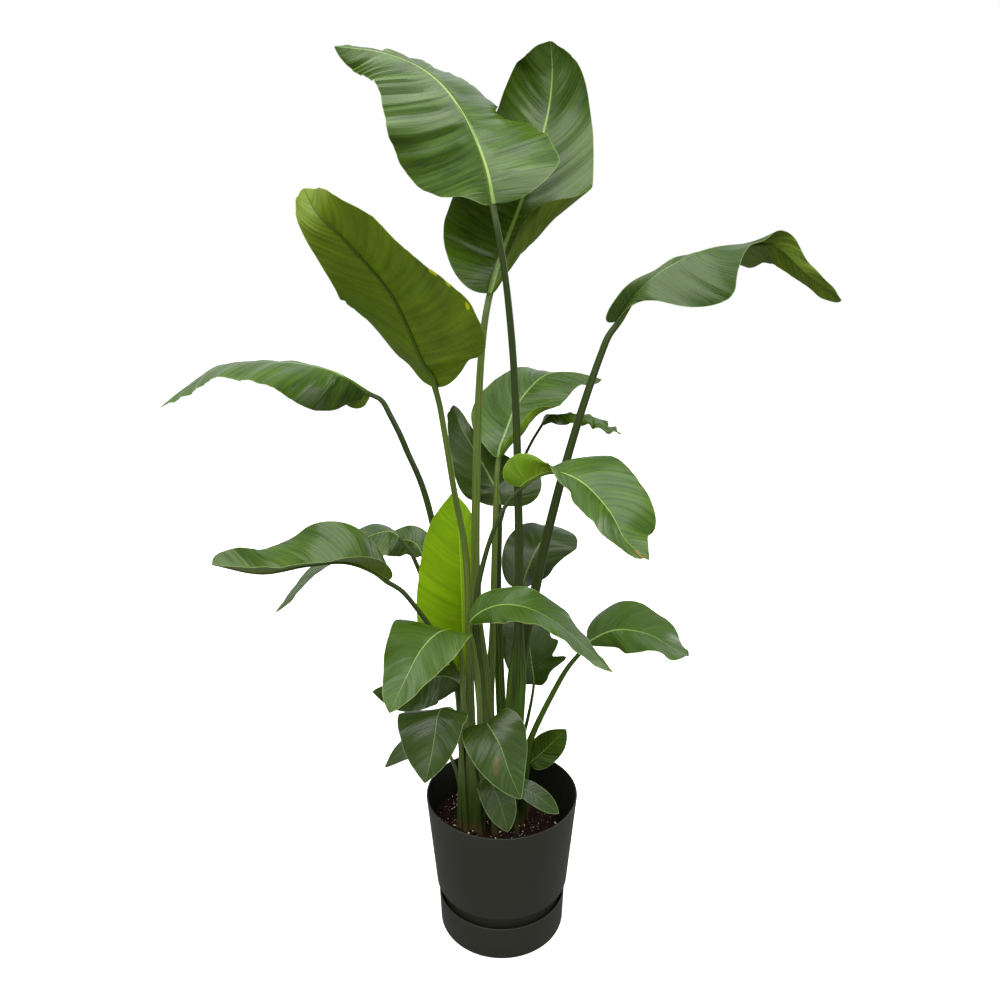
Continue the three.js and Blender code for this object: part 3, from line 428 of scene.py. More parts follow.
# What the table says of each leaf, in millimetres and degrees. The stalk goes from its foot
# in the soil through the points of stem up to the blade, and the midrib goes on through the
# points of rib to the tip. face is where the upper side looks. half is half the blade's
# width, widest the share of its length where it is widest, lobe how far its base reaches
# back, and blunt makes its tip the rounder the smaller it is. Of the left and the right
# half, fold is how far it is raised at the midrib, bend how far it turns on from there to its
# margin, span its share of half, and lean how far its side veins lean to the tip. Lists run
# evenly from the base to the tip. wave is how far the margin ripples, pleat how deep the
# blade is corrugated, and midrib the share of its usual width that the pale midrib has. thick
# is the stalk's half width in the soil and at the blade, sheath the sheath's half width and
# the height at which it ends, and finish and stalk name the materials.
LEAVES = [
    {
        "name": "leaf_01_crown_left", "foot": [10, 0],
        "stem": [[25, 5, 440], [32, 0, 670], [25, -20, 1010], [10, -45, 1210], [-14, -60, 1354]],
        "rib": [[-33, -35, 1432], [-72, 25, 1520], [-127, 85, 1586], [-204, 130, 1628], [-293, 150, 1645]],
        "face": [[0.1, -1, 0.1], [0, -1, 0.35], [-0.1, -0.8, 0.6]],
        "half": 128, "lobe": 0.2,
        "left": {
            "fold": [-40, -45, -8, 5, -40],
            "bend": [10, -10, -20],
            "span": [0.5, 1.15, 0.87, 0.62, 0.9],
            "lean": [0.35, 0.6, 1.2],
        },
        "right": {
            "fold": [15, 0, -12, -25, -40, -42, -44, -40, -40, -30, -20],
            "bend": [-10, -20, 0],
            "span": [1.25, 1.3, 1.1, 1.02, 0.8, 1.2, 0.95, 0.64, 0.5, 0.45, 0.5],
            "lean": [0.05, 0.3, 0.8],
        },
        "thick": [12, 5], "sheath": [19, 640], "stalk": "dark", "wave": [2], "pleat": 2.4,
    },
    {
        "name": "leaf_02_crown_back", "foot": [-25, 35],
        "stem": [[-32, 35, 410], [-49, 45, 656], [-46, 55, 935], [-36, 62, 1125], [-21, 70, 1224]],
        "rib": [[3, 85, 1300], [42, 112, 1403], [78, 136, 1518], [88, 136, 1590], [84, 120, 1643]],
        "face": [[0, -1, 0.1], [0, -1, 0.3], [0, -1, 0]],
        "half": 132,
        "left": {
            "fold": [20, -5, -20, -30, -25, -10, 0],
            "bend": [0, 0, 0, 20, 30],
            "span": [0.9, 1, 1, 1, 0.8, 0.85, 1.2],
            "lean": [0, 0.2, 0.9],
        },
        "right": {
            "fold": [0, 0, 0, -5, -10, 5, 15],
            "bend": [300, 300, 300, 240, 110, 30, 15, 10, 10, 15, 20, 25, 30],
            "span": [0.5, 0.5, 0.65, 0.85, 0.93, 0.86, 0.76, 0.68, 0.62, 0.61, 0.62, 0.61, 0.6],
            "lean": [0.9],
        },
        "thick": [12, 6], "sheath": [16, 660], "stalk": "light", "pleat": 1.7,
    },
    {
        "name": "leaf_03_olive_left", "foot": [-52, -5],
        "stem": [[-60, 0, 460], [-61, 0, 590], [-65, -10, 760], [-84, -30, 892], [-109, -60, 1069]],
        "rib": [
            [-129, -80, 1114], [-167, -130, 1213], [-220, -185, 1283],
            [-256, -202, 1320], [-286, -155, 1360],
        ],
        "face": [[0.1, 0.85, 0.5], [0.1, 0.8, 0.55], [0.1, 0.8, 0.6], [0.1, 0.9, 0.3], [0.1, 0.8, -0.4]],
        "half": 98, "lobe": 0.2,
        "left": {
            "fold": [-15, -30, -30, -15, -5],
            "span": [0.9, 1.75, 1.15, 0.58, 0.6],
            "lean": [0.2, 0.6],
        },
        "right": {"fold": [45, 37, -20, -15, -30], "span": [1.3, 1.15, 0.62, 0.5, 0.6], "lean": [1.1]},
        "thick": [10, 5], "finish": "spotted", "stalk": "light",
    },
    {
        "name": "leaf_04_long_right", "foot": [22, 30],
        "stem": [
            [28, 45, 445], [66, 30, 698], [101, 10, 874],
            [136, -10, 1017], [170, -25, 1129], [189, -35, 1174],
        ],
        "rib": [
            [240, -50, 1240], [315, -60, 1282], [382, -72, 1293],
            [430, -80, 1288], [474, -85, 1250], [538, -80, 1206],
        ],
        "face": [[-0.3, -0.6, 0.7], [-0.2, -0.8, 0.55], [0, -0.6, 0.8], [0.3, 0.8, 0.5], [0.5, 0.7, 0.4]],
        "half": 85, "blunt": 0.5, "lobe": 0.8,
        "left": {
            "fold": [85, 60, 0, -45, -62, -60, -30, 10, 30, 20, 10],
            "span": [0.75, 0.4, 0.12, 0.35, 0.85, 0.92, 0.65, 0.42, 0.36, 0.4, 0.5],
            "lean": [0.3, 0.6],
        },
        "right": {
            "fold": [40, 20, 5, 10, 22, 35, 32, 25, 20, -10, -40],
            "bend": [-20, -10, 0],
            "span": [0.1, 0.25, 1.05, 1.3, 0.9, 0.5, 0.38, 0.3, 0.22, 0.25, 0.3],
            "lean": [0.3, 0.6],
        },
        "thick": [13, 6], "sheath": [15, 600], "finish": "dull", "stalk": "dark", "wave": [2],
        "midrib": 0.3,
    },
    {
        "name": "leaf_05_long_left", "foot": [-66, 60],
        "stem": [
            [-80, 95, 460], [-138, 108, 805], [-180, 80, 945],
            [-206, 66, 1010], [-220, 62, 1038], [-238, 60, 1050],
        ],
        "rib": [[-305, 50, 1090], [-405, 45, 1106], [-495, 40, 1100], [-560, 30, 1062], [-606, 20, 1026]],
        "face": [[0.1, -0.5, 0.85], [0, -0.5, 0.85], [-0.5, -0.3, 0.8]],
        "half": 100,
        "left": {
            "fold": [-95, 10, 20, 10, -10],
            "bend": [-20, -20, 0],
            "span": [0.5, 1.15, 0.85, 0.75, 0.35],
            "lean": [0, 0.2],
        },
        "right": {"fold": [-95, -35, -35, -20, -20], "bend": [-20, -20, 0], "span": [1, 1, 0.8, 0.5, 0.4]},
        "thick": [8, 5], "stalk": "dark", "wave": [4, 2, 0], "pleat": 2.4,
    },
    {
        "name": "leaf_06_boat_left", "foot": [-70, 6],
        "stem": [[-82, 0, 490], [-106, -20, 583], [-156, -60, 688], [-195, -80, 740]],
        "rib": [[-256, -100, 778], [-322, -120, 780], [-394, -140, 772], [-470, -150, 790]],
        "face": [[0.2, -0.3, 0.95], [0, -0.3, 0.95], [0, -0.3, 0.95]],
        "half": 75, "blunt": 0.4,
        "left": {"fold": [80, 40, 37, 47, 45], "span": [0.5, 1.1, 1, 0.75, 0.3]},
        "right": {
            "fold": [10, 45, 10, 10, 35], "bend": [-20, -20, 0],
            "span": [0.75, 0.95, 1.15, 0.95, 0.7],
        },
        "thick": [8, 5], "stalk": "dark",
    },
    {
        "name": "leaf_07_left_back", "foot": [-76, 34],
        "stem": [[-95, 80, 490], [-162, 100, 695], [-201, 105, 765]],
        "rib": [[-238, 100, 775], [-305, 90, 745], [-375, 70, 690], [-440, 60, 625]],
        "face": [[0.1, -0.4, 0.9], [-0.2, -0.4, 0.9], [-0.5, -0.4, 0.8]],
        "half": 58,
        "left": {"fold": [0, -8, 30, 28, -15], "bend": [-20, -20, 0], "span": [1.5, 1, 1.1, 0.85, 0.6]},
        "right": {"fold": [-35, -12, -15, -12, -12], "bend": [-20, 0, 0], "span": [1, 0.95, 0.9, 0.9, 0.95]},
        "thick": [7, 4], "stalk": "dark", "wave": [0.5], "pleat": 0.8,
    },
    {
        "name": "leaf_08_left_far_back", "foot": [-60, 84],
        "stem": [[-96, 115, 530], [-140, 130, 680], [-160, 140, 718]],
        "rib": [[-174, 150, 738], [-200, 165, 742], [-235, 185, 728], [-280, 200, 700]],
        "face": [[0.1, -0.7, 0.7], [-0.1, -0.6, 0.7], [-0.5, -0.4, 0.8]],
        "half": 36,
        "left": {"fold": [-20, -20, 0], "bend": [-20, -20, 0]},
        "right": {"fold": [10, 0, 0], "bend": [-20, 0, 0]},
        "thick": [6, 4], "stalk": "dark",
    },
    {
        "name": "leaf_09_young_upright", "foot": [-44, 60],
        "stem": [[-66, 75, 430], [-78, 80, 490]],
        "rib": [[-79, 87, 564], [-80, 84, 692], [-84, 84, 796], [-93, 90, 858]],
        "face": [[0.2, -1, 0], [0.2, -1, 0], [0.1, -1, 0.1]],
        "half": 75, "widest": 0.45,
        "left": {"fold": [60, 30, 5, 0, 10], "bend": [10], "span": [1.6, 1.5, 1.1, 0.85, 0.65]},
        "right": {"fold": [35, 30, 30, 25, 10], "span": [0.9, 0.6, 0.55, 0.55, 0.45]},
        "thick": [9, 7], "finish": "young", "stalk": "young",
    },
    {
        "name": "leaf_10_middle_back", "foot": [-3, 52],
        "stem": [[-24, 55, 407], [-19, 70, 564], [-12, 95, 820], [-7, 110, 922]],
        "rib": [[8, 130, 970], [32, 155, 1021], [83, 190, 1071], [142, 216, 1077], [203, 234, 1062]],
        "face": [[-0.2, -0.85, 0.5], [-0.1, -0.7, 0.7], [0.2, -0.5, 0.8]],
        "half": 85,
        "left": {"fold": [5, -25, -20, -45, -40], "bend": [0, -10, 0], "span": [0.4, 1.4, 1.15, 1.1, 1]},
        "right": {
            "fold": [30, -5, -10, 10, -5], "bend": [120, 150, 0, 0, 0],
            "span": [1, 0.95, 0.85, 0.85, 1.1],
        },
        "thick": [9, 5], "finish": "fresh", "sheath": [10, 600], "stalk": "light",
    },
    {
        "name": "leaf_11_dark_back", "foot": [18, 62],
        "stem": [[3, 90, 415], [-5, 108, 653], [-4, 120, 826]],
        "rib": [[-25, 142, 878], [-54, 168, 925], [-82, 195, 968], [-97, 212, 1011]],
        "face": [[0.1, -0.9, 0.3], [0.1, -0.8, 0.5], [0.1, -0.7, 0.6]],
        "half": 85,
        "left": {"fold": [-30, 15, 35, 40, 30], "bend": [10, 10, 40], "span": [0.85, 0.85, 0.75, 0.7, 0.8]},
        "right": {"fold": [0, -10, -15, 0, 20], "span": [2, 0.8, 0.4, 0.3, 0.4]},
        "thick": [7, 4], "finish": "shaded", "stalk": "dark",
    },
    {
        "name": "leaf_12_right_middle", "foot": [-32, 8],
        "stem": [[-47, 0, 598], [-46, -15, 685], [-27, -30, 777], [-2, -45, 847], [32, -60, 900]],
        "rib": [[82, -80, 930], [131, -110, 918], [172, -145, 878], [195, -175, 838], [230, -190, 811]],
        "face": [[-0.2, -0.5, 0.85], [0.1, -0.6, 0.8], [0.6, -0.7, 0.4]],
        "half": 78, "lobe": 1,
        "left": {"fold": [-40, -7, 22, 7, 10], "bend": [-20, -20, 0], "span": [0.3, 0.95, 0.95, 1, 0.8]},
        "right": {
            "fold": [110, 115, 90, 35, 30, 30, 29, 28, 27, 28, 30],
            "bend": [30, 0, 0],
            "span": [0.9, 0.92, 0.3, 0.75, 1, 1, 0.95, 0.9, 0.85, 0.8, 0.8],
        },
        "thick": [8, 4], "finish": "browned", "stalk": "dark", "wave": [16, 2, 2, 2],
    },
    {
        "name": "leaf_13_front_arching", "foot": [-38, -22],
        "stem": [[-42, -40, 492], [-50, -60, 600], [-56, -75, 660]],
        "rib": [[-13, -95, 698], [40, -125, 707], [92, -155, 690], [142, -185, 655], [178, -205, 628]],
        "face": [[-0.1, -0.5, 0.85], [0.1, -0.5, 0.85], [0.5, -0.6, 0.6]],
        "half": 50,
        "left": {"fold": [-10, 15, -15, -30, -40], "bend": [-20, -20, 0], "span": [1.3, 0.8, 1, 0.87, 0.87]},
        "right": {"fold": [-35, 0, 35, 33, 5], "bend": [-20, -20, 0], "span": [0.5, 0.8, 1, 1, 0.8]},
        "thick": [7, 4], "finish": "low", "stalk": "light", "wave": [3, 2, 0.3],
    },
    {
        "name": "leaf_14_right_low", "foot": [36, 12],
        "stem": [[46, 15, 330], [63, 5, 404], [113, -10, 524], [143, -20, 575], [158, -28, 602]],
        "rib": [[203, -50, 635], [256, -75, 638], [302, -100, 619], [323, -110, 612]],
        "face": [[-0.1, -0.5, 0.85], [0.1, -0.5, 0.85], [0.4, -0.6, 0.6]],
        "half": 62,
        "left": {
            "fold": [-10, -5, -5, -25, -40], "bend": [-20, -10, 0],
            "span": [1.6, 1.3, 0.95, 0.75, 0.7],
        },
        "right": {"fold": [-50, -20, 30, 35, 45], "bend": [-20, -20, 0], "span": [0.4, 0.65, 1, 0.95, 0.8]},
        "thick": [9, 4], "finish": "low", "stalk": "dark", "wave": [3],
    },
    {
        "name": "leaf_15_front_left", "foot": [-56, -28],
        "stem": [[-60, -34, 355], [-71, -45, 498], [-72, -65, 586], [-82, -85, 644]],
        "rib": [[-106, -112, 658], [-135, -150, 641], [-156, -185, 608], [-180, -215, 562]],
        "face": [[-0.1, -0.4, 0.9], [-0.2, -0.6, 0.75], [-0.2, -0.9, 0.3]],
        "half": 60,
        "left": {"fold": [40, -10, -10, 10, 15], "span": [1.25, 0.95, 0.85, 0.8, 0.8]},
        "right": {"fold": [-40, -5, 40, 15, 5], "span": [0.7, 1.15, 1, 0.85, 1.1]},
        "thick": [7, 4], "sheath": [21, 400], "finish": "low", "stalk": "light",
    },
    {
        "name": "leaf_16_under_left", "foot": [-82, -24],
        "stem": [[-76, -26, 435], [-74, -40, 515]],
        "rib": [[-100, -45, 542], [-135, -60, 544], [-180, -82, 530], [-228, -100, 540]],
        "face": [[-0.1, -0.4, 0.9], [-0.2, -0.5, 0.85], [-0.3, -0.5, 0.8]],
        "half": 38,
        "left": {"fold": [-20, -20, 0], "bend": [-20, -20, 0], "span": [1.3]},
        "right": {"fold": [-10, -10, 0], "bend": [-20, -20, 0]},
        "thick": [6, 4], "finish": "shaded", "stalk": "light",
    },
    {
        "name": "leaf_17_rim_left", "foot": [-70, -32],
        "stem": [[-74, -36, 345], [-84, -62, 473], [-103, -88, 504]],
        "rib": [[-112, -110, 500], [-117, -133, 470], [-124, -152, 432], [-132, -162, 400]],
        "face": [[-0.1, -0.3, 0.95], [-0.1, -0.75, 0.6], [-0.1, -0.9, 0.3]],
        "half": 50, "lobe": 0.45, "widest": 0.22,
        "left": {"fold": [0, 15, 10, -12, -12], "span": [1.35, 1.1, 0.9, 0.7, 0.55]},
        "right": {"fold": [-40, 10, 20, 0, 0], "span": [1, 1.35, 1.2, 1.05, 1]},
        "thick": [6, 4], "finish": "shaded", "stalk": "light",
    },
    {
        "name": "leaf_18_rim_front", "foot": [-14, -30],
        "stem": [[-14, -34, 350], [-24, -62, 440], [-28, -88, 472]],
        "rib": [[-18, -112, 472], [-1, -135, 450], [13, -155, 417], [33, -170, 375]],
        "face": [[0, -0.3, 0.95], [0.1, -0.7, 0.7], [0.2, -0.95, 0.2]],
        "half": 58,
        "left": {"fold": [28, 10, -15, -18, -10], "span": [1.1, 1, 0.85, 0.73, 0.6]},
        "right": {"fold": [0, 5, 5, -3, -5], "span": [1.2, 1.05, 0.93, 0.8, 0.8]},
        "thick": [7, 4], "finish": "scarred", "stalk": "light",
    },
    {
        "name": "leaf_19_rim_right", "foot": [48, 34],
        "stem": [[48, 38, 252], [50, 41, 285], [55, 42, 308]],
        "rib": [[72, 42, 325], [90, 40, 345], [108, 35, 368], [127, 30, 392]],
        "face": [[-0.3, -0.95, 0.3], [-0.2, -0.95, 0.2], [0, -1, 0.2]],
        "half": 30, "thick": [6, 4], "stalk": "light",
    },
    {
        "name": "leaf_20_soil_front", "foot": [-42, -38],
        "stem": [[-44, -46, 280], [-36, -54, 336]],
        "rib": [[-22, -68, 340], [-8, -84, 320], [3, -97, 292], [11, -108, 264]],
        "face": [[0.1, -0.6, 0.8], [0, -0.8, 0.6], [0.1, -0.9, 0.3]],
        "half": 31, "lobe": 0.6, "thick": [5, 4], "finish": "shaded", "stalk": "light",
    },
    {
        "name": "leaf_21_soil_right", "foot": [30, -22],
        "stem": [[26, -28, 262], [22, -38, 310]],
        "rib": [[44, -48, 312], [68, -54, 300], [90, -58, 284], [108, -60, 268]],
        "face": [[0, -0.7, 0.7], [0.1, -0.7, 0.7], [0.3, -0.7, 0.6]],
        "half": 19, "thick": [5, 4], "finish": "shaded", "stalk": "light",
    },
    {
        "name": "leaf_22_rim_far_left", "foot": [-76, -8],
        "stem": [[-84, -4, 300], [-100, 4, 348], [-118, 14, 366]],
        "rib": [[-140, 20, 370], [-168, 20, 366], [-200, 14, 350], [-230, 8, 322]],
        "face": [[-0.1, -0.5, 0.9], [-0.2, -0.5, 0.9], [-0.5, -0.5, 0.7]],
        "half": 26, "thick": [5, 3], "finish": "shaded", "stalk": "light",
    },
    {
        "name": "leaf_23_right_back", "foot": [50, 58],
        "stem": [[38, 96, 413], [41, 130, 581], [43, 147, 645]],
        "rib": [[57, 163, 690], [84, 188, 735], [108, 215, 748], [128, 245, 745]],
        "face": [[-0.1, -0.95, 0.3], [0, -0.8, 0.6], [0.1, -0.3, 0.95]],
        "half": 66,
        "left": {"fold": [0, 0, -20, -20, -5], "span": [1, 1, 0.95, 0.87, 0.75]},
        "right": {"fold": [-90, -20, 0, 5, 5], "span": [1.4, 0.8, 1.05, 1.15, 1.5]},
        "thick": [7, 4], "finish": "shaded", "stalk": "dark",
    },
    {
        "name": "leaf_24_low_back", "foot": [28, 82],
        "stem": [[34, 96, 290], [54, 104, 375], [66, 108, 450]],
        "rib": [[62, 125, 490], [55, 145, 530], [48, 165, 565], [42, 190, 590]],
        "face": [[0, -0.95, 0.2], [0, -0.9, 0.4], [0, -0.7, 0.7]],
        "half": 58,
        "right": {
            "fold": [20, 10, 0],
            "bend": [30, 10, 0],
            "span": [0.9, 0.9, 0.95, 1.6, 0.9, 1, 1.1, 0.87, 0.85, 0.9, 0.9, 0.95, 0.95, 1, 1, 1, 1, 1],
        },
        "thick": [6, 3], "finish": "shaded", "stalk": "dark",
    },
    {
        "name": "leaf_25_thin_right_back", "foot": [2, 86],
        "stem": [[-14, 172, 636], [8, 196, 810], [80, 208, 972]],
        "rib": [[118, 204, 994], [178, 190, 992], [206, 172, 974], [236, 158, 960]],
        "face": [[0, -0.5, 0.9], [0, -0.3, 0.95], [0.4, -0.3, 0.9]],
        "half": 24,
        "left": {"fold": [-40, -30, 0]},
        "right": {"fold": [-40, -30, 0]},
        "thick": [6, 3], "stalk": "dark", "wave": [6],
    },
]
COLLAR = 4
ROOT_DEPTH = 32


def smooth_curve(points, u):
    """The uniform Catmull-Rom curve through the points, at u from 0 to 1."""
    p = np.asarray(points, float)
    p = np.vstack([2 * p[0] - p[1], p, 2 * p[-1] - p[-2]])
    spans = len(p) - 3
    x = np.clip(u, 0, 1 - 1e-9) * spans
    i = x.astype(int)
    f = (x - i)[..., None]
    a, b, c, d = p[i], p[i + 1], p[i + 2], p[i + 3]
    cubic = (3 * b - a - 3 * c + d) * f**3 + (2 * a - 5 * b + 4 * c - d) * f**2
    return 0.5 * (2 * b + (c - a) * f + cubic)


def smooth_value(values, t):
    """The same curve through single values, whose ends are repeated."""
    v = np.asarray(values, float)
    spans = len(v) - 1
    if spans == 0:
        return np.full_like(t, v[0])
    x = np.clip(t, 0, 1 - 1e-9) * spans
    i = x.astype(int)
    f = x - i
    a, b, c, d = (v[np.clip(i + k, 0, spans)] for k in (-1, 0, 1, 2))
    return 0.5 * (2 * b + (c - a) * f + (2 * a - 5 * b + 4 * c - d) * f**2 + (3 * b - a - 3 * c + d) * f**3)


def unit(v):
    """Vectors of length 1."""
    return v / np.linalg.norm(v, axis=-1, keepdims=True)


def smooth_step(x):
    """0 below 0, 1 above 1, and x * x * (3 - 2 x) between."""
    x = np.clip(x, 0, 1)
    return x * x * (3 - 2 * x)


def spine(leaf):
    """The points of the stalk and midrib, and the share of the curve that is stalk."""
    x, y = leaf["foot"]
    ground = (x, y, soil_height(x, y) + COLLAR)
    points = np.array([ground, *leaf["stem"], *leaf["rib"]], float)
    return points, len(leaf["stem"]) / (len(points) - 1)


def spine_run(points, start, steps):
    """Even places from 0 to 1 on the stretch from start to the tip, and the millimetres run
    to each of them."""
    places = np.linspace(0, 1, steps)
    fine = smooth_curve(points, start + (1 - start) * places)
    return places, np.concatenate([[0], np.cumsum(np.linalg.norm(np.diff(fine, axis=0), axis=1))])


def spine_frame(leaf, u, t):
    """Point, tangent, side and face at u along the spine and t along the blade. The face is
    made square to the tangent, and the side is tangent x face."""
    points, joint = spine(leaf)
    step = 1e-4
    point = smooth_curve(points, u)
    along = unit(smooth_curve(points, u + step) - smooth_curve(points, u - step))
    face = smooth_curve(leaf["face"], t)
    face = unit(face - along * np.sum(face * along, -1, keepdims=True))
    return point, along, np.cross(along, face), face


WIDEST = 0.36
FALL_SHAPE = 1.35
BLUNT = 0.9
TIP_WIDTH = 0.012


def half_width(leaf, t):
    """Half the blade's width: a quarter ellipse up to the widest place, then
    cos(pi / 2 * x ** FALL_SHAPE) ** BLUNT out to a tip of TIP_WIDTH times the widest."""
    widest = leaf.get("widest", WIDEST)
    rise = np.sqrt(np.clip(1 - (1 - t / widest) ** 2, 0, 1))
    fall = np.cos(np.pi / 2 * np.clip((t - widest) / (1 - widest), 0, 1) ** FALL_SHAPE)
    fall = fall ** leaf.get("blunt", BLUNT)
    return leaf["half"] * (TIP_WIDTH + (1 - TIP_WIDTH) * np.where(t < widest, rise, fall))


LOBE = 0.35
VEIN_SLANT = 0.25
VEIN_CURVE = 1.5
CURL_STEPS = 12


def blade_surface(leaf, t, s):
    """The blade's middle surface. Row by row, t is the place along the midrib and s the place
    across, -1 to 1. Each half leaves the midrib at its fold angle and turns on by bend *
    s ** 2, so out and lift are the running sums of the angle's cosine and sine. It slants
    along the midrib as the side veins do, and back into a lobe at the base."""
    points, joint = spine(leaf)
    point, along, side, face = spine_frame(leaf, joint + (1 - joint) * t, t)
    k = (np.arange(CURL_STEPS) + 0.5) / CURL_STEPS
    share = abs(s)[None, :]
    near = np.clip(1 - t / leaf.get("widest", WIDEST), 0, 1) ** 2
    slant = VEIN_SLANT * (1 - near) - leaf.get("lobe", LOBE) * near
    surface = np.zeros((*t.shape, 3))
    widths = np.zeros(t.shape)
    for sign, name in ((-1, "left"), (1, "right")):
        half = leaf.get(name, {})
        width = half_width(leaf, t) * smooth_value(half.get("span", [1]), t)
        fold = np.radians(smooth_value(half.get("fold", [0]), t))[..., None]
        bend = np.radians(smooth_value(half.get("bend", [0]), t))[..., None]
        angle = fold + bend * (share[..., None] * k) ** 2
        out = width * share * np.cos(angle).mean(-1)
        lift = width * share * np.sin(angle).mean(-1)
        forward = slant * width * share**VEIN_CURVE
        here = (s * sign >= 0)[None, :]
        sheet = point + sign * out[..., None] * side + lift[..., None] * face + forward[..., None] * along
        surface = np.where(here[..., None], sheet, surface)
        widths = np.where(here, width, widths)
    return surface, widths


# The midrib of a leaf that is RIB_LEAF wide to a side is 1 mm to a side.
RIB_LEAF = 46
RIB_GROWTH = 1.4
RIB_TIP = 0.2


def rib_width(leaf, t):
    """Half the width of the pale midrib that shows above: (half / RIB_LEAF) ** RIB_GROWTH mm
    at the base, times midrib, falling in a straight line to RIB_TIP at the tip."""
    base = leaf.get("midrib", 1) * (leaf["half"] / RIB_LEAF) ** RIB_GROWTH
    return base * (1 - np.clip(t, 0, 1)) + RIB_TIP


VEIN_LEAN = [0.5, 0.9]
VEIN_BOW = 1.3
TIP_SPREAD = 0.03


def along_veins(leaf, t, v, s):
    """How far along the midrib the side vein that starts at v has come at s. It leans to the
    tip by d = lean * half width * s ** VEIN_BOW and never reaches it: of the r left from v,
    it keeps the share exp(-d / r), evened so that TIP_SPREAD stays at the least."""
    left = (v[-1] - v)[:, None]
    halves = [leaf.get(name, {}) for name in ("left", "right")]
    leans = [smooth_value(half.get("lean", VEIN_LEAN), v / v[-1]) for half in halves]
    lean = np.where(s < 0, leans[0][:, None], leans[1][:, None]) * abs(s) ** VEIN_BOW
    kept = np.exp(-half_width(leaf, t)[:, None] * lean / np.maximum(left, 1e-3))
    return v[-1] - left * (TIP_SPREAD + (1 - TIP_SPREAD) * kept)


# Pleats are PLEAT_DEPTH deep on a leaf PLEAT_LEAF wide to a side, and the gaps between the
# creases are shares of the half width and CREASE_ADDED together.
PLEAT = 1.3
PLEAT_DEPTH = 1.6
PLEAT_LEAF = 110
PLEAT_GROWTH = 1.5
PLEAT_START = 0.25
CREASES = 90
CREASE_GAP = (0.08, 0.3)
CREASE_ADDED = 25
TILES = 120
TILE_GAP = (0.05, 0.2)
TILE_STEEP = 3.2
TILE_DEPTH = 0.32
RIPPLE = 0.012
RIPPLE_LENGTH = 30
GROOVE = 0.3
FLAT_ENDS = 0.12


def corrugation(leaf, v, s, widths, random):
    """How far the blade stands off its middle surface. Each half is pleated along its side
    veins: the height runs straight between random creases, zero at the midrib. A second,
    shallower set of creases rises slowly and falls steeply, as overlapping tiles do. The
    margin ripples by wave * s ** 3 * sin(2 pi v / length), and the midrib lies in a groove."""
    half = leaf["half"]
    depth = PLEAT_DEPTH * leaf.get("pleat", PLEAT) * (half / PLEAT_LEAF) ** PLEAT_GROWTH
    spread = half + CREASE_ADDED
    across = abs(s)[None, :] * widths
    off = np.zeros_like(widths)
    for sign in (-1, 1):
        creases = np.cumsum(random.uniform(*CREASE_GAP, CREASES) * spread) - half
        heights = depth * random.uniform(0.2, 1, CREASES) * np.where(np.arange(CREASES) % 2, 1, -1)
        steep = np.arange(TILES) % 2
        gaps = np.where(steep, TILE_STEEP, random.uniform(*TILE_GAP, TILES) * spread)
        steps = TILE_DEPTH * depth * random.uniform(0.3, 1, TILES) * np.where(steep, -1, 1)
        pleat = (np.interp(v, creases, heights) + np.interp(v, np.cumsum(gaps) - half, steps))[:, None]
        start = smooth_step(across / (PLEAT_START * half) - 0.1)
        length = random.uniform(0.7, 1.2) * (RIPPLE_LENGTH + half / 2)
        swing = np.sin(2 * np.pi * v / length + random.uniform(0, 6))[:, None]
        wave = smooth_value(leaf.get("wave", [RIPPLE * half]), v / v[-1])[:, None]
        here = (s * sign > 0)[None, :]
        off = np.where(here, pleat * start + wave * abs(s)[None, :] ** 3 * swing, off)
    ends = smooth_step(np.minimum(v, v[-1] - v) / (FLAT_ENDS * v[-1]))[:, None]
    groove = rib_width(leaf, v / v[-1])[:, None]
    return off * ends - GROOVE * groove * np.exp(-((across / groove) ** 2))


def ring_faces(rings, count):
    """Four-sided faces over rings of equally many points, with each end closed by strips
    that join the two halves of its ring."""
    i, j = np.meshgrid(np.arange(rings - 1), np.arange(count), indexing="ij")
    k = (j + 1) % count
    skin = np.stack([i * count + j, i * count + k, (i + 1) * count + k, (i + 1) * count + j], -1)
    j = np.arange(count // 2 - 1)
    strip = np.stack([j, j + 1, count - 2 - j, count - 1 - j], -1)
    last = (rings - 1) * count
    return np.vstack([skin.reshape(-1, 4), strip[:, ::-1], strip + last])


BLADE_THICKNESS = 0.6
BLADE_STEPS = 400
ROW_SPACING = 2.2
LEAST_ROWS = 24
EVEN_ROWS = 0.15
LEAST_COLUMNS = 10
COLUMN_SPACING = 5
CROWDING = 1.25


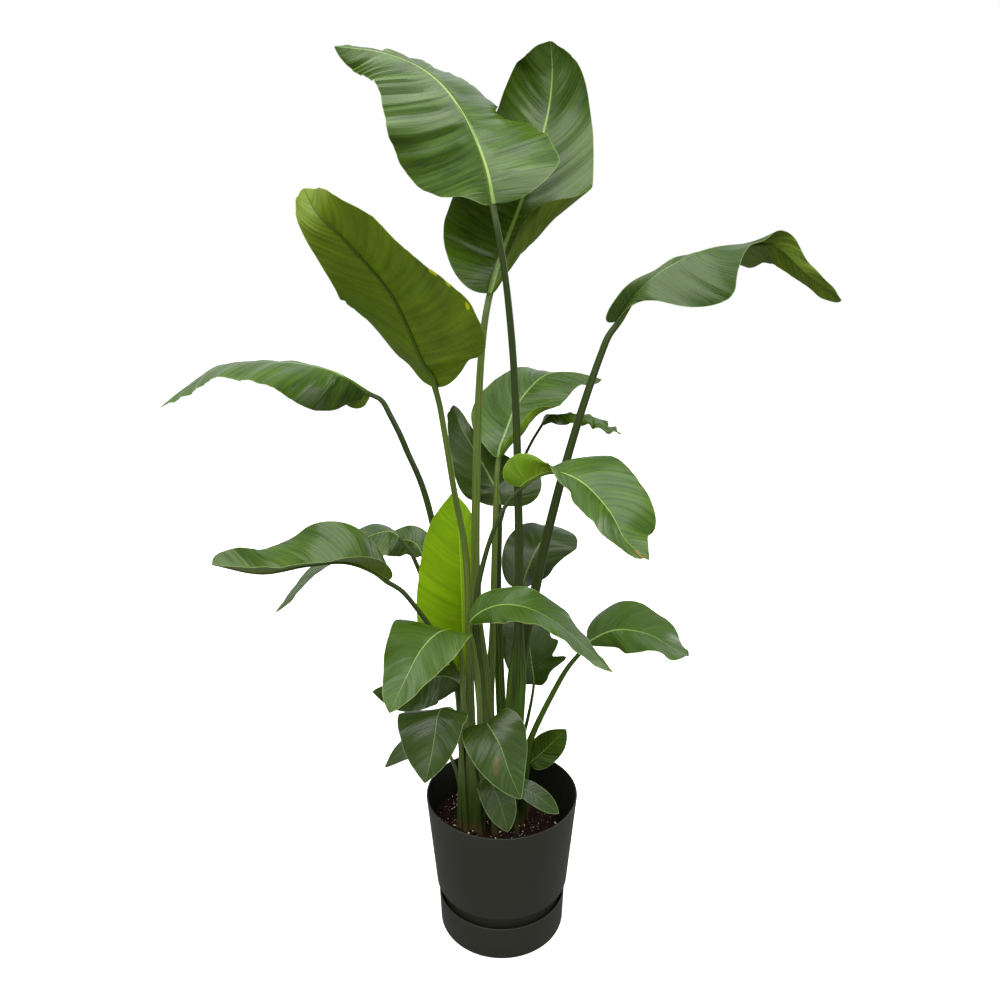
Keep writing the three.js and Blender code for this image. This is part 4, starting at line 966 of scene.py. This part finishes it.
def blade_mesh(leaf, random):
    """The blade's closed skin: rings of the upper side from left to right and the lower side
    back, half the thickness off the corrugated surface. Rows crowd to the base and the tip,
    and columns to the midrib. Gives points, faces, which face is the underside, and two
    maps: millimetres across and along, and the share of the midrib's width with the distance
    from the margin."""
    points, joint = spine(leaf)
    places, run = spine_run(points, joint, BLADE_STEPS)
    rows = max(LEAST_ROWS, int(run[-1] / ROW_SPACING))
    even = np.arange(rows + 1) / rows
    t = EVEN_ROWS * even + (1 - EVEN_ROWS) * (0.5 - 0.5 * np.cos(np.pi * even))
    v = np.interp(t, places, run)
    columns = 2 * int(LEAST_COLUMNS + leaf["half"] / COLUMN_SPACING) + 1
    s = np.linspace(-1, 1, columns)
    s = np.sign(s) * abs(s) ** CROWDING
    reached = np.interp(along_veins(leaf, t, v, s), run, places)
    surface, widths = blade_surface(leaf, reached, s)
    normal = unit(np.cross(np.gradient(surface, axis=1), np.gradient(surface, axis=0)))
    surface = surface + corrugation(leaf, v, s, widths, random)[..., None] * normal
    normal = unit(np.cross(np.gradient(surface, axis=1), np.gradient(surface, axis=0)))
    upper = surface + BLADE_THICKNESS / 2 * normal
    lower = surface - BLADE_THICKNESS / 2 * normal
    rings = np.concatenate([upper, lower[:, ::-1]], axis=1)
    count = 2 * columns
    faces = ring_faces(len(t), count)
    under = (faces % count).min(axis=1) >= columns - 1
    across = s[None, :] * widths
    veins = np.stack([across, np.broadcast_to(v[:, None], across.shape)], -1)
    place = np.stack([abs(across) / rib_width(leaf, reached), widths - abs(across)], -1)
    veins, place = (np.concatenate([m, m[:, ::-1]], axis=1).reshape(-1, 2) for m in (veins, place))
    return rings.reshape(-1, 3), faces, under, veins, place


# KEEL_STEP is how much thinner the keel gets over the first KEEL_STEP_END of the blade, and
# SINK_RUN how many millimetres before the blade the stalk starts to sink under it.
STALK_SPACING = 9
STALK_SIDES = 20
STALK_DEPTH = 0.8
STALK_TAPER = 1.5
KEEL_TAPER = 0.8
KEEL_STEP = 0.35
KEEL_STEP_END = 0.1
KEEL_TIP = 0.4
KEEL_SUNK = 0.95
SINK_RUN = 40
SHEATH_TAPER = 150
CHANNEL_DEPTH = 0.3
CHANNEL_WIDTH = 0.45


def stalk_mesh(leaf):
    """The stalk's closed skin: round, flatter across the side that the blade faces, with a
    channel down that side. It starts in the soil, and sinks under the blade as the keel of
    the midrib, which runs out at the tip. Below the top of its sheath it spreads sideways to
    the sheath's half width."""
    points, joint = spine(leaf)
    low, high = leaf["thick"]
    clasp, sheath_top = leaf.get("sheath", (low, 0))
    places, run = spine_run(points, 0, 2 * BLADE_STEPS)
    v = np.append(np.arange(0, run[-1], STALK_SPACING), run[-1])
    u = np.interp(v, run, places)
    t = np.clip((u - joint) / (1 - joint), 0, 1)
    point, along, side, face = spine_frame(leaf, u, t)
    stalk = high + (low - high) * (1 - np.clip(u / joint, 0, 1)) ** STALK_TAPER
    keel = high * (1 - t) ** KEEL_TAPER * (1 - KEEL_STEP * smooth_step(t / KEEL_STEP_END)) + KEEL_TIP
    radius = np.where(t > 0, keel, stalk)
    sink = KEEL_SUNK * smooth_step((v - np.interp(joint, places, run)) / SINK_RUN + 1)
    centre = point - (sink * radius)[:, None] * face
    centre = np.vstack([centre[0] - [0, 0, ROOT_DEPTH], centre])
    flat = unit(face[0] * [1, 1, 0])
    side = np.vstack([np.cross([0, 0, 1], flat), side])
    face = np.vstack([flat, face])
    radius = np.append(low, radius)
    wide = radius + (clasp - radius) * smooth_step((sheath_top - centre[:, 2]) / SHEATH_TAPER)
    angle = np.pi - (np.arange(STALK_SIDES) + 0.5) * 2 * np.pi / STALK_SIDES
    channel = 1 - CHANNEL_DEPTH * np.exp(-(((angle - np.pi / 2) / CHANNEL_WIDTH) ** 2))
    rings = (
        centre[:, None]
        + (wide[:, None] * np.cos(angle))[..., None] * side[:, None]
        + (radius[:, None] * STALK_DEPTH * np.sin(angle) * channel)[..., None] * face[:, None]
    )
    v = np.append(-ROOT_DEPTH, v)
    veins = np.stack([radius[:, None] * angle, np.broadcast_to(v[:, None], rings.shape[:2])], -1)
    blade_share = np.append(-1, (u - joint) / (1 - joint))
    place = np.stack(np.broadcast_arrays(angle / np.pi, blade_share[:, None]), -1)
    faces = ring_faces(len(rings), STALK_SIDES)
    return rings.reshape(-1, 3), faces, veins.reshape(-1, 2), place.reshape(-1, 2)


# Living leaf with a waxy skin: glossy above, matt and lighter below, with a pale midrib, parallel side
# veins, creases along them drawn with painted shade, and a thin pale margin that is partly a painted
# highlight. Every pattern runs along the side veins, and its sizes are in millimetres.
WAX_IOR = 1.42
STREAK_LENGTH = 90
STREAK_WIDTH = 7
CLOUD = 60
# The creases are drawn as lines along the side veins: painted shade on the upper side, paler on the
# underside.
CREASE_LENGTH = 400
CREASE_SPACING = 15
CREASE_BAND = 0.022
CREASE_SHADE_TINT = 0.55
VEIN_SPACING = 3.5
VEIN_WANDER = 3
VEIN_TINT = 0.07
RIB_EDGE = (1.25, 0.75)
# The thin pale margin is partly a painted highlight of the edge catching light.
MARGIN = (1.1, 0.4)
MARGIN_TINT = 0.6
SKIN_RELIEF = 0.3


def blade_material(name, dark, light, rib, margin, fold, gloss, through, marks=()):
    """One side of a blade. dark and light are mixed in streaks along the side veins. rib is the midrib's
    colour, margin the thin pale edge's, which is partly a painted highlight of the edge catching light, and
    fold the colour painted along the creases: painted shade on the upper side, a paler line on the
    underside. gloss is the roughness, through the share of light that passes the leaf, and marks lists spots
    as (across, along, radius, colour). layers lists what shows each colour over the others."""
    made, tree, shader = material(name)
    veins = add_node(tree, "UVMap", uv_map="veins")
    place = add_node(tree, "UVMap", uv_map="place")
    axes = add_node(tree, "SeparateXYZ", {0: veins})
    edges = add_node(tree, "SeparateXYZ", {0: place})
    stretched = add_node(
        tree, "VectorMath", {0: veins, 1: (1 / STREAK_LENGTH, 1 / STREAK_WIDTH, 1)}, operation="MULTIPLY"
    )
    streaks = add_node(
        tree, "TexNoise", {"Vector": stretched, "Scale": 1.0, "Detail": 2.0, "Roughness": 0.5}
    )
    clouds = add_node(tree, "TexNoise", {"Vector": veins, "Scale": 1 / CLOUD, "Detail": 2.0})
    blend = add_node(tree, "Math", {0: streaks, 1: clouds}, operation="ADD")
    sharp = add_node(tree, "MapRange", {"Value": blend, "From Min": 0.7, "From Max": 1.3})
    wander = add_node(tree, "Math", {0: clouds, 1: VEIN_WANDER}, operation="MULTIPLY")
    phase = add_node(
        tree,
        "Math",
        {0: axes.outputs[1], 1: 2 * math.pi / VEIN_SPACING, 2: wander},
        operation="MULTIPLY_ADD",
    )
    wave = add_node(tree, "Math", {0: phase}, operation="SINE")
    line = add_node(
        tree, "MapRange", {"Value": wave, "From Min": 0.5, "From Max": 1.0, "To Max": VEIN_TINT}
    )
    drawn = add_node(
        tree, "VectorMath", {0: veins, 1: (1 / CREASE_LENGTH, 1 / CREASE_SPACING, 1)}, operation="MULTIPLY"
    )
    folds = add_node(tree, "TexNoise", {"Vector": drawn, "Scale": 1.0, "Detail": 1.0})
    middle = add_node(tree, "Math", {0: folds, 1: 0.5}, operation="SUBTRACT")
    apart = add_node(tree, "Math", {0: middle}, operation="ABSOLUTE")
    crease = add_node(
        tree, "MapRange", {"Value": apart, "From Max": CREASE_BAND, "To Min": 1.0, "To Max": 0.0}
    )
    # Painted shade: the crease lines pull the colour towards fold.
    painted_crease_shade = add_node(tree, "Math", {0: crease, 1: CREASE_SHADE_TINT}, operation="MULTIPLY")
    inside = add_node(
        tree,
        "MapRange",
        {"Value": edges, "From Min": RIB_EDGE[0], "From Max": RIB_EDGE[1]},
        interpolation_type="SMOOTHSTEP",
    )
    # Pale margin line, partly a painted highlight along the edge.
    outer = add_node(
        tree,
        "MapRange",
        {"Value": edges.outputs[1], "From Min": MARGIN[0], "From Max": MARGIN[1], "To Max": MARGIN_TINT},
    )
    layers = [(sharp, light), (line, rib), (painted_crease_shade, fold), (inside, rib), (outer, margin)]
    for across, along, radius, spot in marks:
        away = add_node(tree, "VectorMath", {0: veins, 1: (across, along, 0)}, operation="DISTANCE")
        ragged = add_node(
            tree, "Math", {0: streaks, 1: -radius, 2: away.outputs["Value"]}, operation="MULTIPLY_ADD"
        )
        mask = add_node(
            tree,
            "MapRange",
            {"Value": ragged, "From Min": 0.6 * radius, "From Max": 0.2 * radius},
            interpolation_type="SMOOTHSTEP",
        )
        layers.append((mask, spot))
    colour = linear(dark)
    for shown, paint in layers:
        mixed = {0: shown, 6: colour, 7: linear(paint)}
        colour = add_node(tree, "Mix", mixed, data_type="RGBA").outputs[2]
    rough = add_node(tree, "MapRange", {"Value": streaks, "To Min": gloss - 0.04, "To Max": gloss + 0.06})
    height = add_node(tree, "Math", {0: wave, 1: 0.2, 2: streaks}, operation="MULTIPLY_ADD")
    cut = add_node(tree, "Math", {0: crease, 1: -1.2, 2: height}, operation="MULTIPLY_ADD")
    relief = add_node(tree, "Bump", {"Height": cut, "Strength": 0.45, "Distance": SKIN_RELIEF * MM})
    feed(shader, {"Base Color": colour, "Roughness": rough, "Normal": relief})
    feed(shader, {"IOR": WAX_IOR, "Specular IOR Level": 0.4})
    glow = add_node(tree, "BsdfTranslucent", {"Color": colour, "Normal": relief})
    skin = add_node(tree, "MixShader", {0: through, 1: shader, 2: glow})
    feed(tree.nodes["Material Output"], {"Surface": skin})
    return made


# The finishes of the leaves, upper side and underside. Most are mature. A fresh leaf is brighter, an olive
# or a young one lets more light through, and a low one has calmer streaks. A shaded one is darker: shade
# painted into the colour of the leaves low in the clump and at the back. A dull one is rougher, with that
# painted shade in its upper side. MARKS puts dry brown, scarred or yellow spots on one side of a finish, 0
# for the upper side and 1 for the underside.
MATURE_UNDERSIDE = ("#546c0c", "#6c8616", "#7a9638", "#8ea455", "#7c9428", 0.45, 0.35)
FINISHES = {
    "mature": (("#2a4204", "#456010", "#7f9a48", "#9cae68", "#1c3004", 0.27, 0.12), MATURE_UNDERSIDE),
    "fresh": (
        ("#2c4606", "#486610", "#84a04c", "#9cae68", "#20360a", 0.27, 0.15),
        ("#5c8204", "#7ea010", "#8ca83c", "#a8c050", "#88ac20", 0.45, 0.45),
    ),
    "olive": (
        ("#5a7a1c", "#7c9a34", "#8da848", "#a9bd72", "#5a7a1c", 0.4, 0.5),
        ("#647c0c", "#809a14", "#4c600e", "#9cb030", "#869c34", 0.45, 0.5),
    ),
    "young": (
        ("#7ca400", "#98c000", "#aed03c", "#a8c83c", "#86ac00", 0.42, 0.4),
        ("#7ca400", "#98c000", "#aed03c", "#a8c83c", "#86ac00", 0.5, 0.4),
    ),
    # Painted shade: the upper side takes the darker greens of the shaded finish.
    "dull": (("#293f09", "#374e0f", "#647e3c", "#94a86c", "#1c300a", 0.34, 0.1), MATURE_UNDERSIDE),
    "low": (("#304909", "#3f5a10", "#7a9444", "#9cae68", "#20340a", 0.29, 0.12), MATURE_UNDERSIDE),
    # Painted shade: darker greens for the leaves low in the clump and at the back.
    "shaded": (
        ("#26390b", "#34490f", "#607a3a", "#98aa74", "#1e320a", 0.28, 0.1),
        ("#4a5e0a", "#607418", "#7b9440", "#8ea455", "#607418", 0.5, 0.25),
    ),
}
MARKS = {
    "browned": ("fresh", 0, [(9, 268, 9, "#8f6a3c")]),
    "scarred": ("shaded", 0, [(17, 75, 10, "#4e4a20")]),
    "spotted": (
        "olive",
        1,
        [(-137, 158, 10, "#ffe600"), (-148, 134, 5, "#f0e400"), (-156, 101, 5, "#f0e400")],
    ),
}
blades = {}
for finish, (upper, lower) in FINISHES.items():
    blades[finish] = (
        blade_material(f"waxy_{finish}_leaf_upper_side", *upper),
        blade_material(f"matt_{finish}_leaf_underside", *lower),
    )
for finish, (plain, side, marks) in MARKS.items():
    name = (f"waxy_{finish}_leaf_upper_side", f"matt_{finish}_leaf_underside")[side]
    blades[finish] = list(blades[plain])
    blades[finish][side] = blade_material(name, *FINISHES[plain][side], marks=marks)

# Leaf stalks: smooth, firm and fibrous with fine lengthways streaks, dark green when old and mid green when
# not. The sheath below is greener or paler, the foot a dark green that is partly painted shade of the
# crowded clump, and brown at the soil: each colour fades in from one place along the stalk to another, up to
# a share.
STALK_GREENS = {
    "dark": ("#202c0a", "#364618", "#46660c"),
    "light": ("#3a4a14", "#5c6e28", "#6e7e44"),
    "young": ("#6d8a2c", "#8fb044", "#8fa04c"),
}
# The foot's dark green is partly its own colour and partly painted shade where the stalks crowd together.
SHADED_FOOT_GREEN = "#22380a"
SOILED_BROWN = "#54452a"
KEEL_GREEN = "#3c5408"
SHEATH_FADE = (470, 250, 1.0)
FOOT_FADE = (190, 60, 0.8)
SOILED_FADE = (34, 0, 0.8)
KEEL_FADE = (-0.02, 0.06)
FIBRE_WIDTH = 1.6
FIBRE_LENGTH = 120
FIBRE_RELIEF = 0.3
stalks = {}
for shade, (dark, light, sheathed) in STALK_GREENS.items():
    made, tree, shader = material(f"fibrous_{shade}_leaf_stalk")
    veins = add_node(tree, "UVMap", uv_map="veins")
    place = add_node(tree, "UVMap", uv_map="place")
    axes = add_node(tree, "SeparateXYZ", {0: veins})
    edges = add_node(tree, "SeparateXYZ", {0: place})
    stretched = add_node(
        tree, "VectorMath", {0: veins, 1: (1 / FIBRE_WIDTH, 1 / FIBRE_LENGTH, 1)}, operation="MULTIPLY"
    )
    fibres = add_node(tree, "TexNoise", {"Vector": stretched, "Scale": 1.0, "Detail": 3.0})
    streaked = add_node(tree, "MapRange", {"Value": fibres, "From Min": 0.3, "From Max": 0.7})
    # fresh is the foot's share of that dark green, partly painted shade.
    clasped, fresh, soiled = (
        add_node(
            tree,
            "MapRange",
            {"Value": axes.outputs[1], "From Min": above, "From Max": below, "To Max": most},
            interpolation_type="SMOOTHSTEP",
        )
        for above, below, most in (SHEATH_FADE, FOOT_FADE, SOILED_FADE)
    )
    worn = add_node(tree, "Math", {0: clasped, 1: streaked}, operation="MULTIPLY")
    under = add_node(
        tree,
        "MapRange",
        {"Value": edges.outputs[1], "From Min": KEEL_FADE[0], "From Max": KEEL_FADE[1]},
        interpolation_type="SMOOTHSTEP",
    )
    colour = linear(dark)
    for shown, paint in (
        (streaked, light),
        (worn, sheathed),
        (fresh, SHADED_FOOT_GREEN),
        (soiled, SOILED_BROWN),
        (under, KEEL_GREEN),
    ):
        mixed = {0: shown, 6: colour, 7: linear(paint)}
        colour = add_node(tree, "Mix", mixed, data_type="RGBA").outputs[2]
    matt = add_node(tree, "MapRange", {"Value": under, "To Min": 0.42, "To Max": 0.7})
    relief = add_node(tree, "Bump", {"Height": fibres, "Strength": 0.4, "Distance": FIBRE_RELIEF * MM})
    feed(shader, {"Base Color": colour, "Roughness": matt, "Normal": relief})
    feed(shader, {"IOR": WAX_IOR, "Specular IOR Level": 0.3})
    stalks[shade] = made

# Each leaf's blade and stalk go into one mesh, whose faces wear the upper side, the
# underside or the stalk. The random numbers of a leaf start from its own number.
for number, leaf in enumerate(LEAVES, 1):
    random = np.random.default_rng(number)
    finish = leaf.get("finish", "mature")
    points, faces, under, veins, place = blade_mesh(leaf, random)
    stalk_points, stalk_faces, stalk_veins, stalk_place = stalk_mesh(leaf)
    all_points = np.vstack([points, stalk_points]) * MM
    all_faces = np.vstack([faces, stalk_faces + len(points)])
    made = piece(
        leaf["name"].replace("leaf_", "fine_leaf_"),
        all_points,
        all_faces.tolist(),
        [*blades[finish], stalks[leaf["stalk"]]],
        crease=60,
    )
    mesh = made.data
    wears = np.concatenate([under.astype(int), np.full(len(stalk_faces), 2)])
    mesh.polygons.foreach_set("material_index", wears)
    corners = np.zeros(len(mesh.loops), int)
    mesh.loops.foreach_get("vertex_index", corners)
    for name, values in (
        ("veins", np.vstack([veins, stalk_veins])),
        ("place", np.vstack([place, stalk_place])),
    ):
        layer = mesh.uv_layers.new(name=name)
        layer.data.foreach_set("uv", values[corners].astype(np.float32).ravel())
    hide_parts(leaf["name"])
